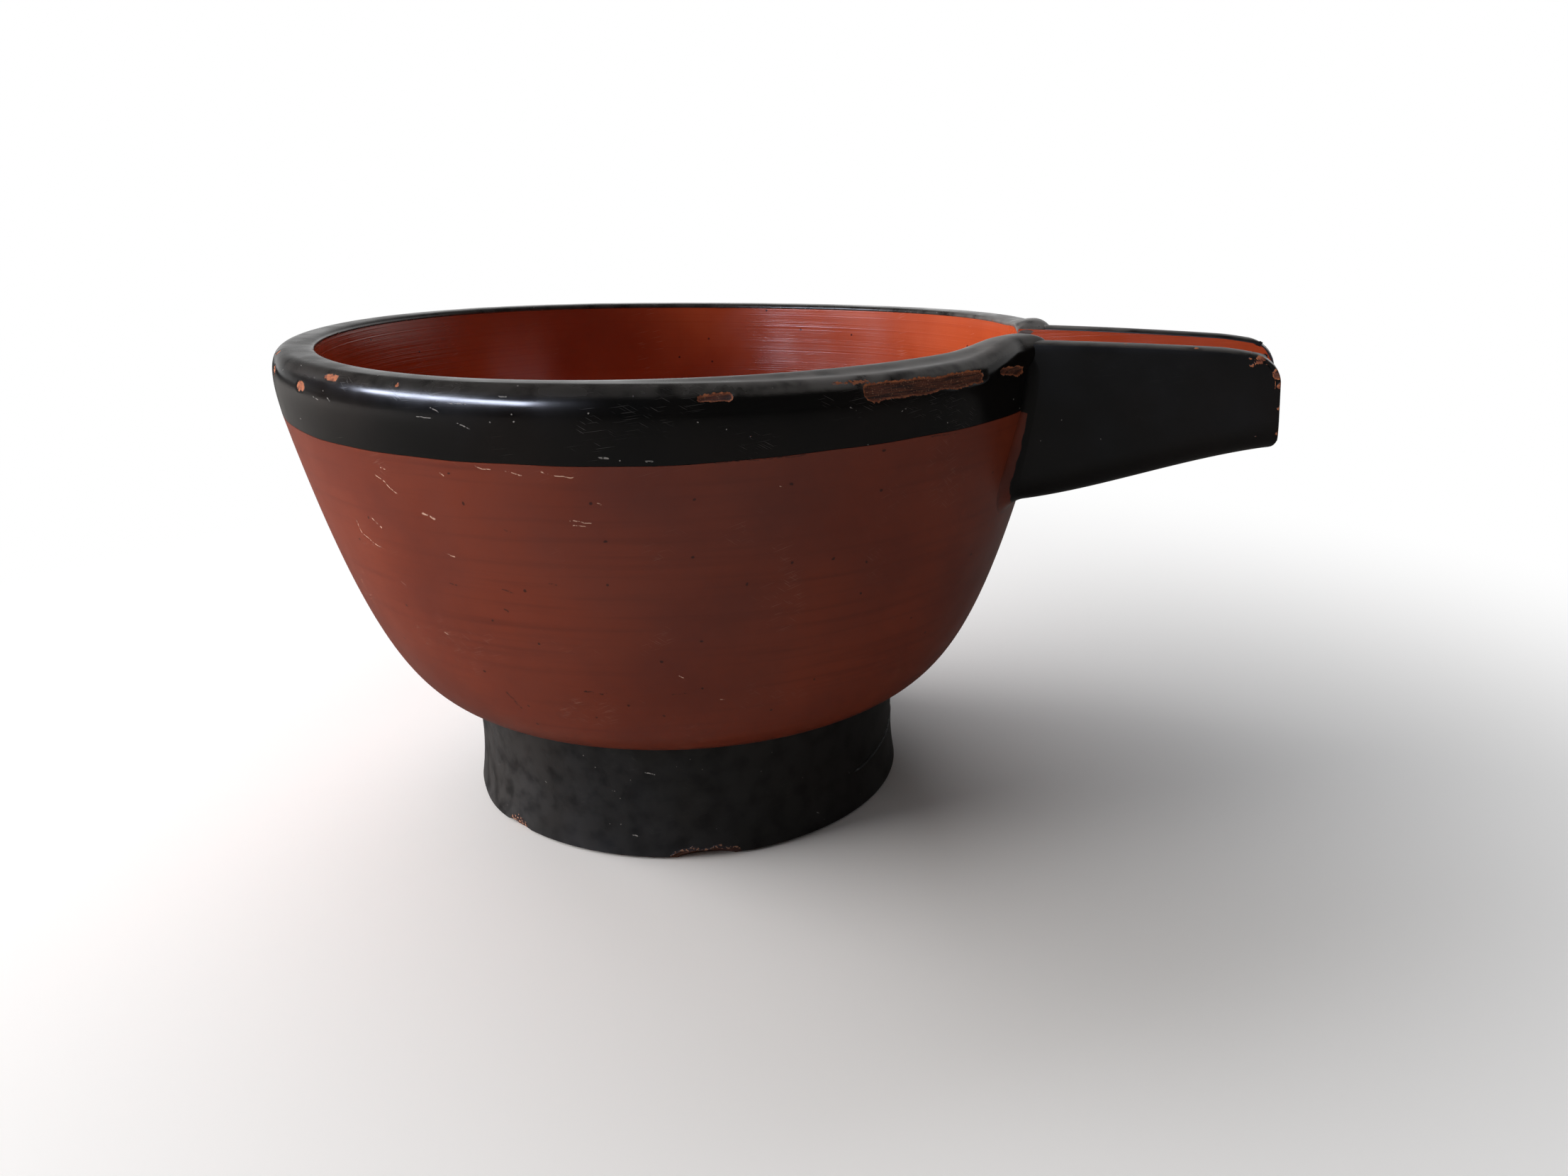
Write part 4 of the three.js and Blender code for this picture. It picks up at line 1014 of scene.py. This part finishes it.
def makeSpoutOutside():
    parts, stations = outlineParts(False), spout["stations"]
    piece, row, sign, index = sweepHalves("spoutBlack", parts, stations + spout["endRows"])
    x, y, z, wear, handled = np.zeros((5, len(row)))
    endRound = spout["endRound"]
    for at, (part, share) in enumerate(parts):
        mine = index == at
        rows = row[mine]
        along = 1 - (1 - np.minimum(rows, stations) / stations) ** 1.35  # closer together at the tip
        # the far wall starts a little sooner, so that no slit shows beside the rim
        sooner = 3.0 * (sign[mine] > 0) * {"lip": 1, "edge": 1, "side": max(0, 1 - 6 * share)}.get(part, 0)
        xs = spoutRoot + 20 + 0 * along
        for _ in range(4):
            across, up = outlineAt(part, share, xs, halfWidth(xs), keelHeight(xs), spout["keelRound"],
                                   spout["liningDrop"], halfWidth(xs) - spout["wall"])
            start = surfaceX(across, np.minimum(up, 154)) + 0.3 - sooner
            xs = start + along * (tipX(up, xs) - start)
        # over the end, the outline closes in on the channel's
        eased = np.clip((rows - stations) / spout["endRows"], 0, 1) ** 1.6
        within = (part, share) if part in ("side", "corner", "bottom") else ("lip", 0.15 * share)
        half = halfWidth(xs) - spout["wall"]
        inAcross, inUp = outlineAt(*within, xs, half, keelHeight(xs) + spout["floor"], spout["channelRound"],
                                   spout["liningDrop"], half)
        toAcross, toUp = across + (inAcross - across) * eased, up + (inUp - up) * eased
        gap = np.minimum(np.hypot(toAcross - across, toUp - up), np.hypot(toAcross - inAcross, toUp - inUp) + 0.35)
        roundOff = endRound * (1 - np.sqrt(np.clip(1 - (1 - np.minimum(gap / endRound, 1)) ** 2, 0, 1)))
        end = tipX(toUp, xs)
        x[mine] = np.where(rows > stations, end - roundOff, xs - np.where(rows == stations, endRound, 0))
        y[mine], z[mine] = toAcross, toUp + lifted(part, share, sign[mine], xs)
        nearEnd = np.exp(-np.abs(end - x[mine]) / 1.2) * np.where(gap < 1.2, 1, 0)
        wear[mine] = np.where(part == "edge", 0.5, 0.0) + nearEnd
        kept = 1 - np.where(sign[mine] < 0, 0.2, 0.7) * smooth(xs, 130, 160)  # less handled towards the tip
        handled[mine] = (part == "edge") * math.sin(math.pi * share) * kept
    place = np.stack([x, y * sign, z], 1)
    writePoints(piece, place)
    inside = -0.66 + 0.5 * np.clip(wear, 0, 1)
    for cx, cy, cz, reach in spout["chips"]:
        inside = np.maximum(inside, (reach - np.linalg.norm(place - (cx, cy, cz), axis=1)) * 0.8)
    writeAttribute(piece, "chip", inside + 0.25 * ripple(place, 3.0, 7))
    writeAttribute(piece, "wearAndSheen", handled)
    writeMap(piece, x, z)
    faceOutward(piece, (0, 0, -1))
    thicken(piece, spout["coat"])
    material = blackUrushi("kuroUrushiSpout", chipped=True, wearAndSheen=True, dusty=0.2, roughness=(0.285, 0.4))
    finishPiece(piece, material, "black_lacquer", "spout_black_lacquer")


def makeSpoutLining():
    parts = outlineParts(True)
    piece, row, sign, index = sweepHalves("spoutLining", parts, spout["liningRows"])
    x, y, z = np.zeros((3, len(row)))
    for at, (part, share) in enumerate(parts):
        mine = index == at
        along = row[mine] / spout["liningRows"]
        xs = spoutRoot + 20 + 0 * along
        for _ in range(4):
            half = halfWidth(xs) - spout["wall"]
            low = keelHeight(xs) + spout["floor"]
            if part == "side":
                top = edgeHeight(xs)
                rise = low + spout["channelRound"]
                drawn = spout["flare"] * (top - rise) / spout["rootDepth"]
                first = top - spout["liningDrop"]
                across, up = half - drawn * share, first + (rise - first) * share
            else:
                across, up = outlineAt(part, share, xs, half, low, spout["channelRound"], 0, half)
            start = innerX(across, up) + 1.02
            xs = start + along * (tipX(up, xs) - 0.6 - start)
        x[mine], y[mine], z[mine] = xs, across, up + lifted(part, share, sign[mine], xs)
    writePoints(piece, np.stack([x, y * sign, z], 1))
    writeMap(piece, x, z + y)
    faceOutward(piece, (0, 0, 1))
    thicken(piece, spout["coat"])
    material = vermilionUrushi("shuUrushiSpout")
    finishPiece(piece, material, "vermilion_lacquer", "spout_vermilion_lacquer")


# Joint: lacquered filler, hollow-faced, in the corner round the spout; red runs over it up to the spout's side
joint = {
    "under": 5.0, "top": 3.2, "topHeight": 156.4, "rows": 36, "across": 10, "bedded": 0.04, "thickness": 0.3,
    "redShare": 0.64,
}


def jointUrushi(name):
    material, tree, solid = newMaterial(name)
    red = node(tree, "Attribute", out="Fac", attribute_name="red")
    ragged = node(tree, "TexNoise", {"Vector": solid, "Scale": 500.0, "Detail": 2.0})
    edge = node(tree, "Math", {0: ragged, 1: 0.25, 2: red}, operation="MULTIPLY_ADD")
    cloud = node(tree, "TexNoise", {"Vector": solid, "Scale": 60.0, "Detail": 4.0})
    body = painted(tree, redFinish["body"],
                   (node(tree, "MapRange", {0: cloud, 1: 0.3, 2: 0.7}, **soft), redFinish["cloud"]),
                   (0.35, redFinish["dark"]))
    colour = painted(tree, blackFinish["deep"], (node(tree, "MapRange", {0: edge, 1: 0.6, 2: 0.66}, **soft), body))
    rough = node(tree, "MapRange", {0: cloud, 1: 0.3, 2: 0.7, 3: 0.29, 4: 0.42})
    coatSurface(tree, colour, rough, node(tree, "Bump", {"Height": ragged, "Strength": 0.15, "Distance": 0.3 * mm}))
    return material


def makeJoint():
    rows = joint["rows"]
    piece, row, column = sweepPiece("jointFillet", joint["across"], 2 * rows)
    sign = np.where(row <= rows, 1.0, -1.0)
    # from the top of one side (0) down to the bend (0.5), and round it (0.75) to the middle of the keel (1)
    share = np.where(row <= rows, row, 2 * rows - row) / rows
    angle = column / (joint["across"] - 1) * math.pi / 2
    x = np.full(len(row), spoutRoot)
    for _ in range(6):
        half, low, top = halfWidth(x), keelHeight(x), edgeHeight(x)
        bend = low + spout["keelRound"]
        drawn = spout["flare"] * (top - bend) / spout["rootDepth"]
        onSide, onBend, onFlat = (np.clip((share - a) / (b - a), 0, 1) for a, b in ((0, 0.5), (0.5, 0.75), (0.75, 1)))
        height = joint["topHeight"] + (bend - joint["topHeight"]) * onSide
        turn = onBend * math.pi / 2
        flat = half - drawn - spout["keelRound"]
        sideY = half - spout["flare"] * (top - height) / spout["rootDepth"]
        y = np.where(share <= 0.5, sideY, flat * (1 - onFlat) + spout["keelRound"] * np.cos(turn) * (share < 0.75))
        z = np.where(share <= 0.5, height, bend - spout["keelRound"] * np.sin(turn))
        up = np.clip((z - rootKeel) / (spout["rootDepth"] - 13), 0, 1)
        size = (joint["under"] + (joint["top"] - joint["under"]) * up) * (0.5 + 0.5 * smooth(share, 0, 0.1))
        out = size * (1 - np.sin(angle)) - joint["bedded"]
        y, z = y + out * np.cos(turn), z - out * np.sin(turn)
        x = surfaceX(y, z) + size * (1 - np.cos(angle)) - joint["bedded"]
    writePoints(piece, np.stack([x, y * sign, z], 1))
    # where the red coat ends, a wavering line
    wave = 0.03 * np.sin(z * 0.9) + 0.03 * np.sin(z * 0.31)
    toEdge = joint["redShare"] + wave - column / (joint["across"] - 1)
    writeAttribute(piece, "red", np.where(z > bowl["bandHeight"] + 1, -1, 0.5 + toEdge * 3))
    faceOutward(piece, (1, 0, -0.3))
    thicken(piece, joint["thickness"])
    finishPiece(piece, jointUrushi("sabiFillerUrushi"), "lacquer_filler", "joint_filler")


makeSpoutOutside()
makeSpoutLining()
makeJoint()
makeRedCoat()

# Inside of the bowl: vermilion coat, opened for the channel
insideCoat = {"steps": 360}


def makeInsideCoat():
    face = innerFace.copy()
    face[0] -= (0.0, 0.06)
    section, lengths = coatSection(face, 6)
    section[len(face)] = (0, bowl["floor"] - bowl["coat"])
    section[-1] -= (0.3, 0)
    piece = turnedCoat("vermilionCoat", section, lengths, insideCoat["steps"])
    cutMouth(piece, 0.0)
    material = vermilionUrushi("shuUrushiBowl")
    finishPiece(piece, material, "vermilion_lacquer", "inner_vermilion_lacquer")


makeInsideCoat()

# Foot: black coat outside, with its crack and its broken edge, and the coat under the bowl
foot = {
    "steps": 420, "roof": 37.9,
    "notchAzimuth": -61.8, "notchHalf": 8.6, "notchHeight": 2.4, "taper": 12,  # the break in the standing edge
    "nickAzimuth": -113.6, "nickHalf": 4.6, "nickHeight": 0.9, "tuftSize": (4.4, 2.3), "tuftHeight": 2.6,
    "crackHeight": 15.4, "crackWave": 1.4, "crackRise": 3, "crackProud": 0.3, "crackDepth": 0.4,
    "swellAzimuth": -124, "swellHalf": 16, "swellHeight": 9, "swell": 0.7,
    "scratches": [
        (-75.6, 29.8, -73.4, 29.4, 0.5), (-79.4, 7.6, -78.0, 7.2, 0.5), (-20.6, 15.6, -20.2, 14.8, 0.4),
        (-103.6, 20.4, -103.2, 19.9, 0.4), (-84.0, 22.6, -83.5, 22.2, 0.4), (-32.5, 6.5, -32.0, 6.0, 0.4),
    ],
}


def makeFootCoat():
    low = bowl["footEdge"]
    t = np.unique(np.concatenate([np.linspace(0, 1, 45), np.linspace(0.3, 0.54, 37)]).round(5))  # closer at the crack
    face = arc((76.9, low), (73.4, 19.6), (bowl["footTop"], 38.95), t)
    section, lengths = coatSection(face, 5)
    piece = turnedPiece("footCoat", section, foot["steps"])
    radius, azimuth, height = polar(readPoints(piece))
    which = nearestOn(section, radius, height)
    degrees = signedDegrees(azimuth)
    place = np.stack([radius * np.cos(azimuth), radius * np.sin(azimuth), height], 1)
    ragged = ripple(place, 2.2, 3)
    # the break in the standing edge
    share = np.clip(1 - ((degrees - foot["notchAzimuth"]) / foot["notchHalf"]) ** 2, 0, 1)
    lift = foot["notchHeight"] * np.sqrt(share) * (1 + 0.35 * ragged)
    fromNick = degrees - foot["nickAzimuth"]
    lift = lift + foot["nickHeight"] * np.clip(1 - (fromNick / foot["nickHalf"]) ** 2, 0, 1) * (1 + 0.6 * ragged)
    raised = low + lift + (height - low) * (foot["taper"] - lift) / foot["taper"]
    newHeight = np.where(height < low + foot["taper"], raised, height)
    inside = 1.0 - (newHeight - low - lift) * 1.3 + 0.9 * ragged
    inside = np.where(lift > 0.25, inside, -3)
    wide, tall = foot["tuftSize"]
    tufts = 0.3 - 0.8 * np.hypot(fromNick / wide, (newHeight - foot["tuftHeight"]) / tall) + 0.7 * ripple(place, 1.0, 5)
    inside = np.maximum(inside, np.minimum(tufts, 0.4))
    # the crack, level round the right side, with the coat a little proud under it
    wave = foot["crackWave"] * np.sin(np.radians(degrees * 6 + 40)) + foot["crackRise"] * smooth(degrees, 2, 12)
    onCrack = smooth(degrees, -18.5, -15) * (1 - smooth(degrees, 26, 34))
    gap = height - (foot["crackHeight"] + wave)
    proud = foot["crackProud"] * np.exp(np.minimum(gap, 0) / 4) * (gap < -0.15)
    radius = radius + onCrack * (proud - foot["crackDepth"] * np.exp(-(gap / 0.25) ** 2))
    swollen = hump(np.abs(degrees - foot["swellAzimuth"]) / foot["swellHalf"])
    radius = radius + foot["swell"] * swollen * np.clip(1 - newHeight / foot["swellHeight"], 0, 1)
    writePoints(piece, np.stack([radius * np.cos(azimuth), radius * np.sin(azimuth), newHeight], 1))
    writeAttribute(piece, "chip", inside)
    # the crack's mask, along which shade is painted near black
    writeAttribute(piece, "shadedCrack", onCrack * np.exp(-((gap + 0.1) / 0.5) ** 2))
    # a little matt grey all round, and a painted sheen that grows towards the foot's lit left side
    writeAttribute(piece, "wearAndSheen", 0.1 + 0.14 * smooth(-degrees, 86, 128))
    writeMap(piece, azimuth, lengths[which], turned=True)
    material = blackUrushi("kuroUrushiFoot", foot["scratches"], mapOf(face), wearAndSheen=True, chipped=True, torn=True,
                           dusty=0.5, roughness=(0.3, 0.46))
    finishPiece(piece, material, "black_lacquer", "foot_black_lacquer")


def makeUndersideCoat():
    inner, low, roof = bowl["footInner"], bowl["footEdge"], foot["roof"]
    outer, back = inner + bowl["coat"], roof + bowl["coat"]
    section = [(r, roof) for r in (0, 20, 45, 62, 64.6)] + [(66.1, 37.5), (67.2, 36.4)]
    section += [(inner, z) for z in (34.9, 24, 12, low)] + [(outer, z) for z in (low, 12, 24, back)]
    section += [(r, back) for r in (45, 20, 0)]
    piece = turnedPiece("undersideCoat", section, 180)
    radius, azimuth, height = polar(readPoints(piece))
    writeMap(piece, azimuth, radius + 40 - height, turned=True)
    material = blackUrushi("kuroUrushiUnderside", dusty=0.6, roughness=(0.34, 0.5))
    finishPiece(piece, material, "black_lacquer", "underside_black_lacquer")


makeFootCoat()
makeUndersideCoat()

# Bare wood and pins keep their solids
for name, grain in {"bowl_core": (40, 40, 900), "foot_ring": (40, 40, 900), "spout_core": (30, 700, 900)}.items():
    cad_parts[name].material_slots[0].material = bareWood("horseChestnut_" + name, grain)
bamboo = splitBamboo("splitBamboo")
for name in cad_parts:
    if name.startswith("spout_pin"):
        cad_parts[name].material_slots[0].material = bamboo
print("bare wood and pins are dressed")
